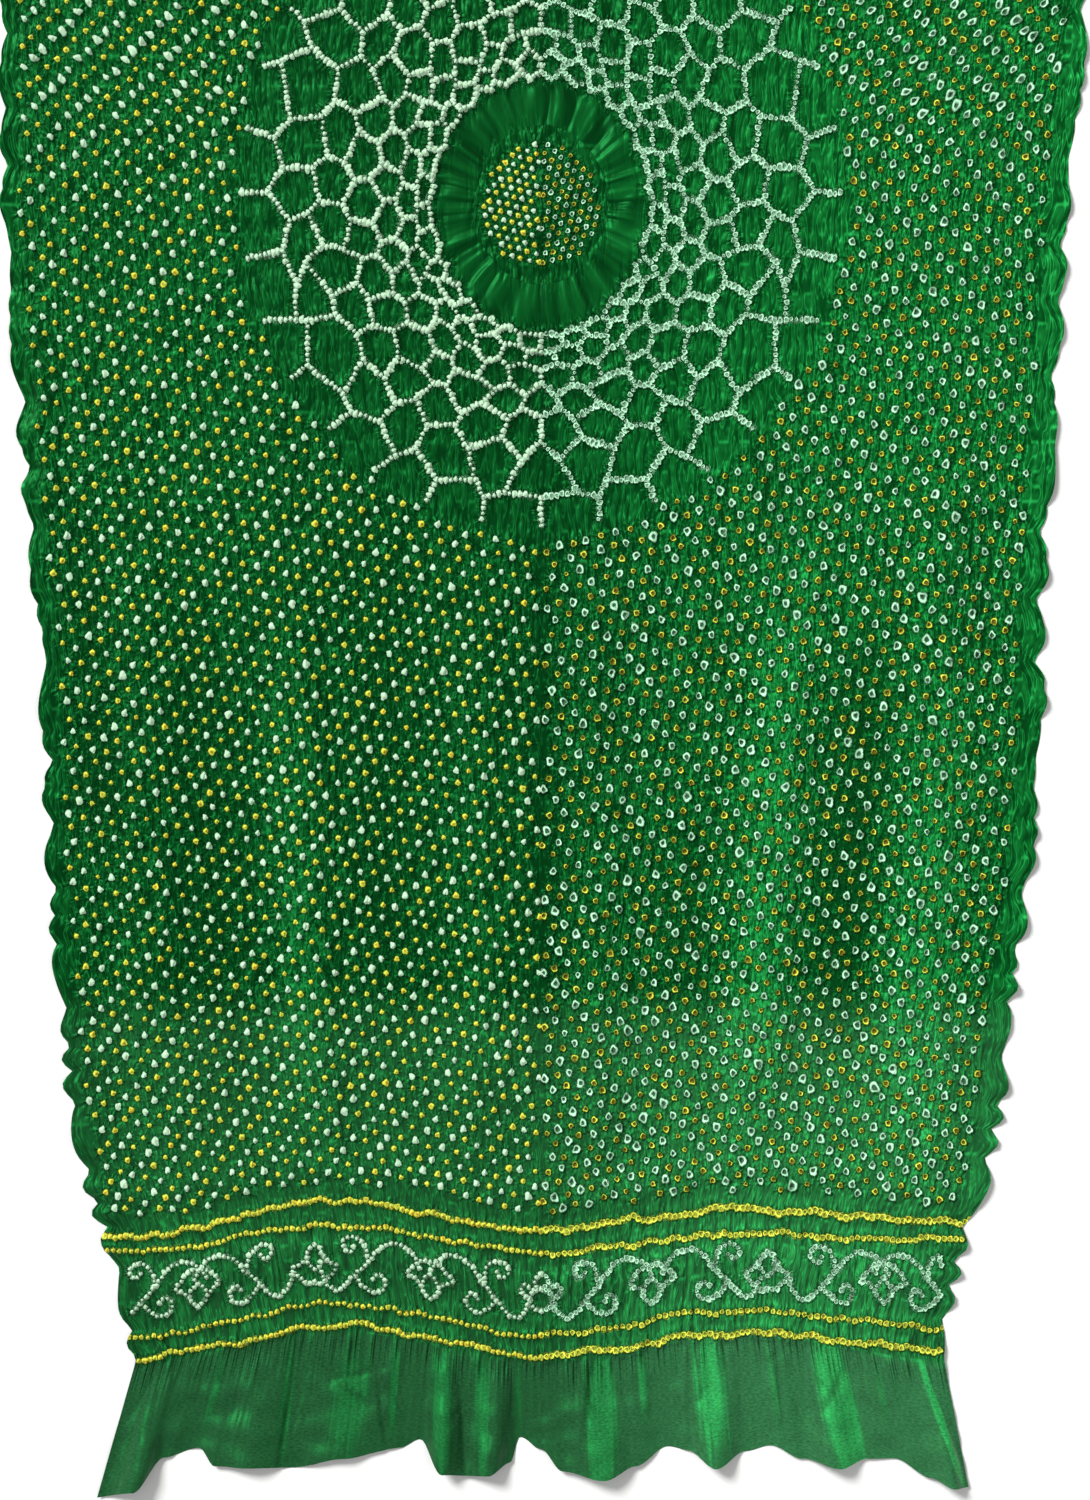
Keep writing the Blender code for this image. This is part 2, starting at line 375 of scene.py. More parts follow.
    def lobe(self, along: np.ndarray, pitch: float, side: np.ndarray) -> np.ndarray:
        """Rounded side lobes with sharp hollows between them, from -0.5 to 0.5.

        Args:
            along: Places along the cloth.
            pitch: The lobes' usual length.
            side: -1 for the left side and 1 for the right one.

        Returns:
            How far the lobe reaches out there, as a share of its depth.
        """
        turns = along / pitch + side * self.side_offset
        turns = turns + self.uneven * np.sin(turns * math.tau / self.drift_waves + side)
        return np.abs(np.sin(np.pi * turns)) - 0.5

    def side_wave(self, along: np.ndarray, side: np.ndarray) -> np.ndarray:
        """How far the scalloped side reaches out, which is below 0 in its hollows.

        Args:
            along: Places along the cloth.
            side: -1 for the left side and 1 for the right one.

        Returns:
            The waves' reach.
        """
        keys = [station.along for station in self.stations]
        scallop = np.interp(along, keys, [station.scallop for station in self.stations])
        ripple = np.interp(along, keys, [station.ripple for station in self.stations])
        return (scallop * self.lobe(along, self.scallop_pitch, side)
                + ripple * self.lobe(along, self.ripple_pitch, side))

    def fold_reach(self, fold: FieldFold, across: np.ndarray,
                   along: np.ndarray) -> tuple[np.ndarray, np.ndarray, np.ndarray]:
        """How near places are to a fold's crest.

        Args:
            fold: The fold.
            across: Places across the cloth.
            along: Places along it.

        Returns:
            The share of its rise across it, how full it is there, and the share of its length.
        """
        middle, reach = (fold.start + fold.end) / 2, (fold.end - fold.start) / 2
        share = (along - fold.start) / (fold.end - fold.start)
        crest = fold.start_across + (fold.end_across - fold.start_across) * share
        fullness = np.minimum(1.0, self.fold_fullness * hump((along - middle) / reach))
        return hump((across - crest) / fold.width), fullness, share

    def field_rise(self, across: np.ndarray, along: np.ndarray) -> np.ndarray:
        """The height of the cloth's main folds over the surface, between the two waists.

        Args:
            across: Places across the cloth.
            along: Places along it.

        Returns:
            The heights.
        """
        rise = self.disc_rise * hump(np.hypot(across, along) / self.disc)
        for fold in self.folds:
            near, fullness, _ = self.fold_reach(fold, across, along)
            rise = np.maximum(rise, fold.rise * near * fullness)
        for puff in self.puffs:
            rise = np.maximum(rise, puff.rise * hump((np.abs(along) - puff.along) / puff.width))
        return rise

    def field(self, share: np.ndarray, along: np.ndarray) -> np.ndarray:
        """Points of the drawn-in field.

        Args:
            share: From -1 at the left side to 1 at the right one.
            along: Places along the cloth, before the tied lines' arch.

        Returns:
            One row of X, Y and Z for each point.
        """
        side = np.where(share < 0, -1.0, 1.0)
        width = self.half_width(along, side)
        edge = ease(1 - (1 - np.abs(share)) * width / self.side_reach)
        wave = self.side_wave(along, side)
        across = share * width + side * wave * edge
        strength = ease((np.abs(along) - self.bow_start) / (self.bow_full - self.bow_start))
        arch = self.bow_depth * strength * np.sin(np.pi * share) ** 2
        rise = self.field_rise(share * width, along)
        rise = rise * (1 - edge) + np.maximum(0.0, wave) * self.side_lift * edge
        return np.stack([across, along - np.sign(along) * arch, rise], axis=1)

    def painted_field_fold_light(self, across: np.ndarray, along: np.ndarray) -> np.ndarray:
        """How much lighter or darker the green is painted on the field's broad folds: painted light on their
        crests, painted shade in their troughs.

        Args:
            across: Places across the cloth.
            along: Places along it.

        Returns:
            Above 0 on the crests and below 0 in the troughs.
        """
        painted_fold_light = np.zeros(len(across))
        for fold in self.painted_fold_light_bands:
            near, fullness, share = self.fold_reach(fold, across, along)
            painted_fold_light += fold.rise * near * fullness * (1 - self.painted_light_taper * share)
        far = (self.field_rise(across, along) - self.far_level) * self.far_painted_light_gain
        return np.where(along < self.far_start, painted_fold_light, far * ease(along / self.far_start / 2 - 0.5))

    def down(self, run: np.ndarray) -> np.ndarray:
        """How far down a frill each run is, 0 at the waist and 1 at the hem."""
        return np.clip((np.abs(run) - self.waist) / self.frill, 0.0, 1.0)

    def hem_across(self, share: np.ndarray) -> np.ndarray:
        """Where along the hem each share of the cloth's width comes out."""
        return share * np.where(share < 0, -self.hem[0].across, self.hem[-1].across)

    def hem_reach_rise(self, across: np.ndarray) -> tuple[np.ndarray, np.ndarray]:
        """The hem's distance from the cloth's middle, and its height, at places along it."""
        keys, reaches, rises = np.array(self.hem).T
        return eased(keys, reaches, across), eased(keys, rises, across)

    def frill_lines(self, lines: tuple[FrillCrease, ...], share: np.ndarray, down: np.ndarray) -> np.ndarray:
        """How strongly a set of lines marks the frill, below 0 where a line has the other sign.

        Args:
            lines: The lines, each with its own depth.
            share: From -1 at the left side to 1 at the right one.
            down: From 0 at the waist to 1 at the hem.

        Returns:
            The summed depths.
        """
        across, below = self.hem_across(share), down * self.frill
        depth = np.zeros(len(share))
        for crease in lines:
            first = np.array([crease.across, crease.down * self.frill])
            step = np.array([crease.end_across, crease.end_down * self.frill]) - first
            reach = ((across - first[0]) * step[0] + (below - first[1]) * step[1]) / (step @ step)
            near = np.clip(reach, 0.0, 1.0)
            apart = np.hypot(across - first[0] - near * step[0], below - first[1] - near * step[1])
            depth += crease.depth * hump(apart / crease.width) * (0.4 + 0.6 * np.sin(np.pi * near))
        return depth * (down > 0)

    def place(self, share: np.ndarray, run: np.ndarray) -> np.ndarray:
        """Points of the whole cloth, frilled ends included.

        Args:
            share: From -1 at the left side to 1 at the right one.
            run: Places along the cloth, past the waist in the frill's own length.

        Returns:
            One row of X, Y and Z for each point.
        """
        points = self.field(share, np.clip(run, -self.waist, self.waist))
        down = self.down(run)
        end = np.sign(run)
        across = self.hem_across(share)
        reach, rise = self.hem_reach_rise(across)
        rise = rise * np.where(end > 0, self.far_rise, 1.0) * ease(down)
        points[:, 0] += (across - points[:, 0]) * down
        points[:, 1] += (end * reach - points[:, 1]) * down
        points[:, 2] += (rise - points[:, 2]) * ease(4 * down)
        return points


@dataclass
class KnotBook:
    """Every knot of the cloth, and the count of its groups."""

    knots: list[Knot]
    groups: int = 0
    sample: float = 0.0025

    def dot(self, across: float, along: float, radius: float, dye: Dye, angle: float,
            stretch: float, lift: float) -> None:
        """Adds one knot that stands alone.

        Args:
            across: Its place across the cloth.
            along: Its place along the cloth.
            radius: Its radius.
            dye: Its colour.
            angle: The way it is stretched.
            stretch: How many times longer than wide it is.
            lift: How strongly it stands up or sinks in.
        """
        self.knots.append(Knot(across, along, angle, radius, 2 * radius, 1, radius, stretch,
                               dye, lift, self.groups))
        self.groups += 1

    def chain(self, points: list[tuple[float, float]], pitch: float, radius: float, dye: Dye,
              lift: float, smooth: bool = False, stretch: float = 1.0) -> None:
        """Adds a chain of touching knots.

        Args:
            points: Where the chain runs.
            pitch: About how far apart its knots are.
            radius: The knots' radius.
            dye: Their colour.
            lift: How strongly they stand up or sink in.
            smooth: Whether the chain curves through its points.
            stretch: How many times longer than wide each knot is.
        """
        line = np.array(points, float)
        if smooth:
            line = smooth_line(line)
        steps = np.linalg.norm(np.diff(line, axis=0), axis=1)
        runs = np.concatenate([[0.0], np.cumsum(steps)])
        length = float(runs[-1])
        if length < self.sample:
            return
        count = max(1, round(length / pitch))
        fitted = length / count
        at = np.linspace(0.0, length, max(2, round(length / self.sample) + 1))
        across, along = np.interp(at, runs, line[:, 0]), np.interp(at, runs, line[:, 1])
        angles = np.arctan2(np.gradient(along), np.gradient(across))
        for x, y, angle, run in zip(across, along, angles, at):
            self.knots.append(Knot(float(x), float(y), float(angle), float(run) + fitted / 2,
                                   fitted, count + 1, radius, stretch, dye, lift, self.groups))
        self.groups += 1


def smooth_line(line: np.ndarray, steps: int = 6) -> np.ndarray:
    """A smooth curve through a line's points.

    Args:
        line: The points, one row each.
        steps: How many pieces each stretch is cut into.

    Returns:
        The curve's points.
    """
    ends = np.vstack([2 * line[0] - line[1], line, 2 * line[-1] - line[-2]])
    made = []
    for a, b, c, d in zip(ends, ends[1:], ends[2:], ends[3:]):
        for t in np.linspace(0.0, 1.0, steps, endpoint=False):
            made.append(0.5 * (2 * b + (c - a) * t + (2 * a - 5 * b + 4 * c - d) * t * t
                               + (3 * b - a - 3 * c + d) * t ** 3))
    made.append(line[-1])
    return np.array(made)


@dataclass(frozen=True)
class Border:
    """The two pairs of yellow tied lines at each end, and the vine between them."""

    form: LaidForm
    lines: tuple[TiedLine, ...] = (
        TiedLine(0.876, 0.846, 0.871, 0.853, 0.864),
        TiedLine(0.888, 0.867, 0.890, 0.874, 0.880),
        TiedLine(0.960, 0.934, 0.960, 0.939, 0.954),
        TiedLine(0.979, 0.953, 0.977, 0.958, 0.974),
    )
    line_reach: float = 0.345
    line_share: float = 0.985
    line_points: int = 120
    line_pitches: tuple[float, ...] = (0.0045, 0.0050, 0.0054, 0.0046)
    line_radii: tuple[float, ...] = (0.0023, 0.0020, 0.0019, 0.0022)
    wobble: float = 0.0040
    wobble_length: float = 0.045
    flutter: float = 0.0030
    flutter_length: float = 0.014
    ring_growth: float = 1.16
    vine_pitch: float = 0.0043
    vine_radius: float = 0.0018
    vine_scale: float = 0.00086
    vine_along: float = 0.92
    vine_margin: float = 0.008
    stems: tuple[float, ...] = (0.046, 0.150, 0.247, 0.331)
    flowers: tuple[float, ...] = (0.094, 0.192, 0.291)
    stem: tuple[tuple[float, float], ...] = (
        (-42, -6), (-38, -18), (-28, -25), (-18, -19), (-8, -7), (4, 5),
        (13, 18), (25, 26), (39, 25), (50, 17), (55, 8),
    )
    upper_curl: tuple[tuple[float, float], ...] = (
        (3, 6), (1, 19), (-7, 28), (-17, 28), (-21, 20), (-15, 14), (-10, 19),
    )
    lower_curl: tuple[tuple[float, float], ...] = (
        (-9, -11), (-1, -20), (9, -25), (18, -21), (20, -12), (14, -7), (9, -12),
    )
    petal: tuple[tuple[float, float], ...] = (
        (0, 16), (7, 17), (14, 11), (20, 4), (21, 0), (14, -4), (9, -10),
    )
    heart: tuple[tuple[float, float], ...] = (
        (0, 3), (5, -1), (8, -8), (6, -16), (0, -21),
    )

    def line_along(self, line: TiedLine, across: np.ndarray) -> np.ndarray:
        """How far along the cloth a tied line lies.

        Args:
            line: The line.
            across: Places across the cloth.

        Returns:
            The distance from the middle of the cloth at each place.
        """
        keys = np.linspace(-self.line_reach, self.line_reach, len(line))
        return eased(keys, np.array(line), np.clip(across, -self.line_reach, self.line_reach))

    def tie(self, book: KnotBook) -> None:
        """Ties both borders."""
        for end in (-1.0, 1.0):
            for number, line in enumerate(self.lines):
                self.tie_line(book, line, end, number)
            for side in (-1.0, 1.0):
                self.tie_vine(book, end, side)

    def tie_line(self, book: KnotBook, line: TiedLine, end: float, number: int) -> None:
        """Ties one yellow line from side to side, in two halves.

        Args:
            book: Takes the knots.
            line: The line.
            end: -1 for the near end and 1 for the far one.
            number: The line's number, which sets its own small strays.
        """
        for side in (-1.0, 1.0):
            width = float(self.form.half_width(np.array(end * line.left_arch), np.array(side)))
            across = np.linspace(0.0, side * width * self.line_share, self.line_points)
            layer = np.full(self.line_points, number * 3.1)
            stray = self.wobble * wrinkles(across / self.wobble_length, layer, end)
            stray += self.flutter * wrinkles(across / self.flutter_length, layer, end + 5)
            along = end * (self.line_along(line, across) + stray)
            radius = self.line_radii[number] * (self.ring_growth if side > 0 else 1.0)
            book.chain(list(zip(across, along)), self.line_pitches[number], radius, Dye.YELLOW, 0.8)

    def band_place(self, point: tuple[float, float], end: float, side: float) -> tuple[float, float]:
        """A point of the vine's chart on the cloth.

        Args:
            point: Its distance from the middle, and its height over the band's middle.
            end: -1 for the near end and 1 for the far one.
            side: -1 for the left half and 1 for the right one.

        Returns:
            Its place across and along the cloth.
        """
        across = side * point[0]
        inner = float(self.line_along(self.lines[1], np.array(across)))
        outer = float(self.line_along(self.lines[2], np.array(across)))
        return across, end * ((inner + outer) / 2 - point[1])

    def tie_vine(self, book: KnotBook, end: float, side: float) -> None:
        """Ties the vine along one half of a border.

        Args:
            book: Takes the knots.
            end: -1 for the near end and 1 for the far one.
            side: -1 for the left half and 1 for the right one.
        """
        parts: list[list[tuple[float, float]]] = []
        for number, middle in enumerate(self.stems):
            flip = -1.0 if number % 2 else 1.0
            for chart in (self.stem, self.upper_curl, self.lower_curl):
                parts.append([(middle + flip * x * self.vine_scale, y * self.vine_scale) for x, y in chart])
        for number, middle in enumerate(self.flowers):
            stands = -1.0 if number % 2 else 1.0
            for chart in (self.petal, self.heart):
                for mirror in (-self.vine_scale, self.vine_scale):
                    parts.append([(middle + mirror * x, stands * self.vine_scale * y) for x, y in chart])
        ring = [(math.sin(turn) * 11, -6 - math.cos(turn) * 11) for turn in np.linspace(0, math.pi, 7)]
        loop = [(math.sin(turn) * 6, 12 - math.cos(turn) * 7) for turn in np.linspace(0, math.pi, 6)]
        ear = [(8, 4), (15, 9), (20, 3), (15, -3)]
        for chart in (ring, loop, ear):
            parts.append([(x * self.vine_scale, y * self.vine_scale) for x, y in chart])
        limit = float(self.form.half_width(np.array(end * self.vine_along), np.array(side)))
        for part in parts:
            kept = [point for point in part if point[0] < limit - self.vine_margin]
            if len(kept) > 1:
                placed = [self.band_place(point, end, side) for point in kept]
                radius = self.vine_radius * (self.ring_growth if side > 0 else 1.0)
                book.chain(placed, self.vine_pitch, radius, Dye.WHITE, 0.7, smooth=True)


@dataclass(frozen=True)
class Medallion:
    """The round centre: a disc of knots, a plain ring, and a net of chained knots round it."""

    disc_across: float = 0.0495
    disc_along: float = 0.0545
    disc_pitch: float = 0.0080
    disc_rows: float = 0.0067
    disc_radius: float = 0.0019
    ring_across: float = 0.089
    ring_along: float = 0.106
    net_across: float = 0.246
    net_along: float = 0.274
    net_middle: float = 0.010
    cells_round: int = 32
    rings: int = 7
    widening: float = 1.12
    spike: float = 0.80
    stray: float = 0.26
    pitch: float = 0.0047
    cross_pitch: float = 0.0040
    radius: float = 0.0019
    cross_radius: float = 0.0028
    cross_stretch: float = 0.72

    def net_point(self, turn: float, depth: float) -> tuple[float, float]:
        """A point of the net.

        Args:
            turn: Turns round the middle, from the near end.
            depth: 0 at the plain ring and 1 at the net's outer corners.

        Returns:
            Its place across and along the cloth.
        """
        depth = max(depth, 0.0) ** self.widening
        grow_across = self.ring_across * (self.net_across / self.ring_across) ** depth
        grow_along = self.ring_along * (self.net_along / self.ring_along) ** depth
        angle = turn * math.tau
        return (math.sin(angle) * grow_across,
                self.net_middle * min(1.0, depth) - math.cos(angle) * grow_along)

    def edge_share(self, across: np.ndarray, along: np.ndarray) -> np.ndarray:
        """How far out a place is, 1 at the net's outer corners.

        Args:
            across: Places across the cloth.
            along: Places along it.

        Returns:
            The share of the net's reach.
        """
        return np.hypot(across / self.net_across, (along - self.net_middle) / self.net_along)

    def tie(self, book: KnotBook, rng: np.random.Generator) -> None:
        """Ties the disc and the net.

        Args:
            book: Takes the knots.
            rng: Draws the small strays.
        """
        self.tie_disc(book, rng)
        self.tie_net(book, rng)

    def tie_disc(self, book: KnotBook, rng: np.random.Generator) -> None:
        """Ties the disc's slanting rows, in white and yellow by turns.

        Args:
            book: Takes the knots.
            rng: Draws the small strays.
        """
        slant = math.sqrt(0.5)
        for row in range(-16, 17):
            for step in range(-14, 15):
                run = (step + 0.5 * (row % 2)) * self.disc_pitch
                out = slant * (run + row * self.disc_rows)
                along = slant * (row * self.disc_rows - run)
                if out < 0.0012 or math.hypot(out / self.disc_across, along / self.disc_along) > 1:
                    continue
                dye = Dye.YELLOW if row % 2 else Dye.WHITE
                for side in (-1.0, 1.0):
                    stray = rng.normal(0.0, 0.0005, 2)
                    book.dot(side * out + stray[0], along + stray[1], self.disc_radius, dye,
                             side * math.pi / 3, 1.15, 0.55)

    def tie_net(self, book: KnotBook, rng: np.random.Generator) -> None:
        """Ties the net's rings of cells, mirrored about the cloth's middle.

        Args:
            book: Takes the knots.
            rng: Draws the small strays.
        """
        half = self.cells_round // 2
        edge = 1 / (1.5 * self.rings)
        nodes: dict[tuple[int, int], tuple[float, float]] = {}
        for ring in range(self.rings):
            for step in range(2 * half + 1):
                outward = (step + ring) % 2 == 0
                depth = (ring + 0.5) / self.rings + (0.25 if outward else -0.25) * edge
                turn = step / (2 * self.cells_round)
                stray = rng.normal(0.0, self.stray, 2)
                on_fold = step in (0, 2 * half)
                turn += 0 if on_fold else stray[0] * 0.5 / self.cells_round * 0.8
                nodes[ring, step] = self.net_point(turn, depth + stray[1] * edge * 0.7)
        links: list[list[tuple[float, float]]] = []
        for (ring, step), node in nodes.items():
            if (ring, step + 1) in nodes:
                links.append([node, nodes[ring, step + 1]])
            if (step + ring) % 2 == 0:
                beyond = nodes.get((ring + 1, step))
                if beyond is None:
                    turn = step / (2 * self.cells_round)
                    depth = (ring + 0.5) / self.rings + edge * (0.25 + self.spike)
                    beyond = self.net_point(turn, depth)
                links.append([node, beyond])
        for link in links:
            step = np.subtract(link[1], link[0])
            level = abs(step[0]) / max(float(np.hypot(*step)), book.sample) * rng.uniform(0.5, 1.1)
            pitch = self.pitch + (self.cross_pitch - self.pitch) * level
            radius = self.radius + (self.cross_radius - self.radius) * level
            stretch = 1 + (self.cross_stretch - 1) * level
            for side in (-1.0, 1.0):
                book.chain([(side * x, y) for x, y in link], pitch, radius, Dye.WHITE, 0.75, stretch=stretch)


@dataclass(frozen=True)
class FieldKnots:
    """The slanting rows of single knots, white and yellow by turns, that fill the field."""

    form: LaidForm
    medallion: Medallion
    border: Border
    pitch: float = 0.0138
    corner_pitch: float = 0.0108
    row_gap: float = 0.0112
    corner_row_gap: float = 0.0138
    solid_radius: float = 0.0023
    ring_radius: float = 0.0027
    yellow_share: float = 0.88
    stray: float = 0.0009
    widest: float = 0.452
    open_rows: float = 1.04
    drawn_rows: float = 0.06
    left_margin: float = 0.013
    right_margin: float = 0.018
    net_gap: float = 1.06
    border_gap: float = 0.016
    last_row: float = 0.838

    def tie(self, book: KnotBook, rng: np.random.Generator) -> None:
        """Ties every row of both halves, mirrored about the cloth's middle.

        Args:
            book: Takes the knots.
            rng: Draws the small strays.
        """
        slant = math.sqrt(0.5)
        row, level = 0, -0.66
        while level < 1.0:
            dye = Dye.YELLOW if row % 2 else Dye.WHITE
            run = -1.1 + self.pitch * (0.5 * (row % 2) + 0.25 * rng.random())
            while run < 1.1:
                out, along = slant * (run + level), slant * (level - run)
                corner = float(ease(np.array((along + 0.02) / 0.14)) * ease(np.array((out - 0.2) / 0.1)))
                if 0.002 < out < 0.48 and abs(along) < 1.1 * self.last_row:
                    self.tie_pair(book, rng, out, along, dye, corner)
                run += self.pitch + (self.corner_pitch - self.pitch) * corner
            corner = float(ease(np.array((level - 0.22) / 0.16)))
            level += self.row_gap + (self.corner_row_gap - self.row_gap) * corner
            row += 1

    def tie_pair(self, book: KnotBook, rng: np.random.Generator, out: float, along: float,
                 dye: Dye, corner: float) -> None:
        """Ties one knot through both halves, where the cloth is not left plain.

        Args:
            book: Takes the knots.
            rng: Draws the small strays.
            out: Its distance from the cloth's middle line.
            along: Its place along the cloth.
            dye: Its colour.
            corner: From 0 to 1, how long the white knots are drawn there.
        """
        for side in (-1.0, 1.0):
            stray = rng.normal(0.0, self.stray, 2)
            place = along * (self.open_rows - self.drawn_rows * abs(along)) + stray[1]
            width = float(self.form.half_width(np.array(place), np.array(side)))
            across = side * out * width / self.widest + stray[0]
            margin = self.left_margin if side < 0 else self.right_margin
            if abs(across) > width - margin:
                continue
            if self.medallion.edge_share(np.array(across), np.array(place)) < self.net_gap:
                continue
            line = float(self.border.line_along(self.border.lines[0], np.array(across)))
            if abs(place) > line - self.border_gap:
                continue
            drawn = 1.25 + 0.4 * corner if dye is Dye.WHITE else 1.08
            size = (self.solid_radius if side < 0 else self.ring_radius) * (1 + 0.08 * rng.normal())
            size *= self.yellow_share if dye is Dye.YELLOW else 1.0
            angle = math.pi / 2 - side * (math.pi / 4 * corner + 0.25 * rng.normal())
            book.dot(across, place, size, dye, angle, drawn, 1.0)


@dataclass(frozen=True)
class ClothSheet:
    """The cloth's one thin sheet: its mesh, its crinkle, and what its material reads."""

    form: LaidForm
    columns: int = 180
    near_row: float = 0.0049
    far_row: float = 0.0105
    seen_to: float = 0.19
    lift: float = 0.0004
    peak: float = 0.0036
    peak_reach: float = 0.0066
    rim: float = 0.0022
    rim_radius: float = 0.0042
    rim_width: float = 0.0026
    flat_width: float = 1.00
    flat_length: float = 2.40
    fine_net: float = 0.70
    vine_band: tuple[float, float] = (0.858, 0.968)
    band_share: float = 0.97
    chain_hold: float = 0.0016
    chain_reach: float = 0.006
    crease_depth: float = 0.0016
    crease_width: float = 0.0040
    nearest: int = 14
    ring_pleat: float = 0.0016
    field_fine: Crinkle = Crinkle(0.0018, 60, 34, 1.0)
    field_broad: Crinkle = Crinkle(0.0018, 20, 8, 2.0)
    net_cells: Crinkle = Crinkle(0.0030, 110, 70, 6.0)
    border_pleats: Crinkle = Crinkle(0.0032, 80, 16, 3.0)
    frill_flutes: Crinkle = Crinkle(0.0070, 15, 2, 4.0)
    frill_gathers: Crinkle = Crinkle(0.0065, 52, 4, 7.0)
    frill_crumple: Crinkle = Crinkle(0.0028, 45, 60, 5.0)

    def row_runs(self) -> np.ndarray:
        """Where the mesh rows run: close together where the near half shows, wider beyond."""
        end = self.form.waist + self.form.frill
        near = np.linspace(-end, self.seen_to, round((end + self.seen_to) / self.near_row) + 1)
        far = np.linspace(self.seen_to, end, round((end - self.seen_to) / self.far_row) + 1)
        return np.concatenate([near, far[1:]])

    def params(self, points: np.ndarray, runs: np.ndarray) -> tuple[np.ndarray, np.ndarray]:
        """The share across and the run along of points of the flat grid.

        Args:
            points: Points of a grid from -1 to 1.
            runs: The rows' runs.

        Returns:
            The shares and the runs.
        """
        rows = (points[:, 1] + 1) / 2 * (len(runs) - 1)
        return np.clip(points[:, 0], -1, 1), np.interp(rows, np.arange(len(runs)), runs)

    def flat_grid(self, medallion: Medallion, runs: np.ndarray) -> bpy.types.Mesh:
        """A flat grid, cut finer in the medallion's middle and along the near vine.

        Args:
            medallion: Says where its cells are small.
            runs: The rows' runs.

        Returns:
            The grid, from -1 to 1 both ways.
        """
        grid = bmesh.new()
        bmesh.ops.create_grid(grid, x_segments=self.columns, y_segments=len(runs) - 1, size=1)
        faces = list(grid.faces)
        centres = np.array([face.calc_center_median() for face in faces])
        share, run = self.params(centres, runs)
        points = self.form.place(share, run)
        fine = medallion.edge_share(points[:, 0], points[:, 1]) < self.fine_net
        in_band = (-points[:, 1] > self.vine_band[0]) & (-points[:, 1] < self.vine_band[1])
        fine |= in_band & (np.abs(share) < self.band_share)
        fine |= run < -self.form.waist
        edges = {edge for face, cut in zip(faces, fine) if cut for edge in face.edges}
        bmesh.ops.subdivide_edges(grid, edges=list(edges), cuts=1, use_grid_fill=True)
        mesh = bpy.data.meshes.new("cloth_sheet")
        grid.to_mesh(mesh)
        grid.free()
        return mesh

    def knot_tree(self, knots: list[Knot]) -> KDTree:
        """A search tree of the knots' places."""
        tree = KDTree(len(knots))
        for number, knot in enumerate(knots):
            tree.insert((knot.across, knot.along, 0.0), number)
        tree.balance()
        return tree

    def gather_on_knots(self, points: np.ndarray, knots: list[Knot], tree: KDTree) -> None:
        """Moves the nearest point of the mesh onto each knot or chain.

        Args:
            points: The mesh's points, which are changed.
            knots: The knots.
            tree: Their search tree.
        """
        corners = KDTree(len(points))
        for number, point in enumerate(points):
            corners.insert((point[0], point[1], 0.0), number)
        corners.balance()
        taken: dict[int, float] = {}
        for knot in knots:
            if knot.count == 1:
                _, number, distance = corners.find((knot.across, knot.along, 0.0))
                if distance < taken.get(number, 1.0):
                    taken[number] = distance
                    points[number, :2] = knot.across, knot.along
        for number, point in enumerate(points):
            if number in taken:
                continue
            _, index, distance = tree.find((point[0], point[1], 0.0))
            knot = knots[index]
            if knot.count > 1 and distance < self.chain_hold:
                normal = np.array([-math.sin(knot.angle), math.cos(knot.angle)])
                offset = (point[:2] - (knot.across, knot.along)) @ normal
                point[:2] -= normal * offset

    def relief(self, points: np.ndarray, share: np.ndarray, run: np.ndarray, knots: list[Knot],
               tree: KDTree, medallion: Medallion) -> tuple[np.ndarray, np.ndarray, np.ndarray]:
        """The crinkle on top of the main folds: knots, puckers, gathers and fine wrinkles.

        Args:
            points: The mesh's points.
            share: Their shares across the cloth.
            run: Their runs along it.
            knots: The knots.
            tree: Their search tree.
            medallion: Says where its plain ring is.

        Returns:
            The extra height of each point, the depth of the frill's creases there, and how much
            each point belongs to the crumpled cloth and the plain ring and lies down the frill.
        """
        distance = np.zeros(len(points))
        lift = np.zeros(len(points))
        for number, point in enumerate(points):
            _, index, apart = tree.find((point[0], point[1], 0.0))
            knot = knots[index]
            if knot.count > 1 and apart < self.chain_reach:
                offset = (point[0] - knot.across, point[1] - knot.along)
                apart = abs(offset[1] * math.cos(knot.angle) - offset[0] * math.sin(knot.angle))
            distance[number], lift[number] = apart, knot.lift
        peaks = self.peak * lift * np.clip(1 - distance / self.peak_reach, 0, 1) ** 1.4
        rims = self.rim * lift * np.exp(-((distance - self.rim_radius) / self.rim_width) ** 2)
        rims += 0.3 * self.rim * ease((distance - 0.006) / 0.01)
        hollow = ease(points[:, 0] / 0.006 + 0.5)
        knotted = peaks * (1 - hollow) + rims * hollow
        reach = medallion.edge_share(points[:, 0], points[:, 1])
        inside = np.hypot(points[:, 0] / medallion.ring_across, points[:, 1] / medallion.ring_along)
        turn = np.arctan2(points[:, 0], -points[:, 1])
        stray = wrinkles(turn * 2.2, inside * 2, 8.0)
        pleat = np.sin(turn * 17 + 7 * stray) + 0.6 * np.sin(turn * 29 + 9 * stray + 1.3)
        ringed = hump((inside - 0.82) / 0.32)
        down = self.form.down(run)
        netted = (1 - ease((reach - 0.95) / 0.1)) * (1 - ringed)
        tied = np.minimum(1.0, 1.7 * hump((np.abs(run) - 0.925) / 0.13)) * (1 - ease(down * 8))
        field = (1 - netted) * (1 - ringed) * (1 - tied) * (1 - ease(down * 3))
        wave = self.ring_pleat * pleat * ringed
        wave += self.field_fine.on(share, run) * field
        wave += self.net_cells.on(points[:, 0], points[:, 1]) * netted
        wave += self.field_broad.on(share, run) * (field + 0.5 * tied)
        wave += self.border_pleats.on(share, run) * tied
        frilled = ease(down * 4)
        wave += self.frill_flutes.on(share, run) * frilled * (1 - 0.40 * down)
        wave += self.frill_gathers.on(share, run) * frilled * (1 - down) ** 3
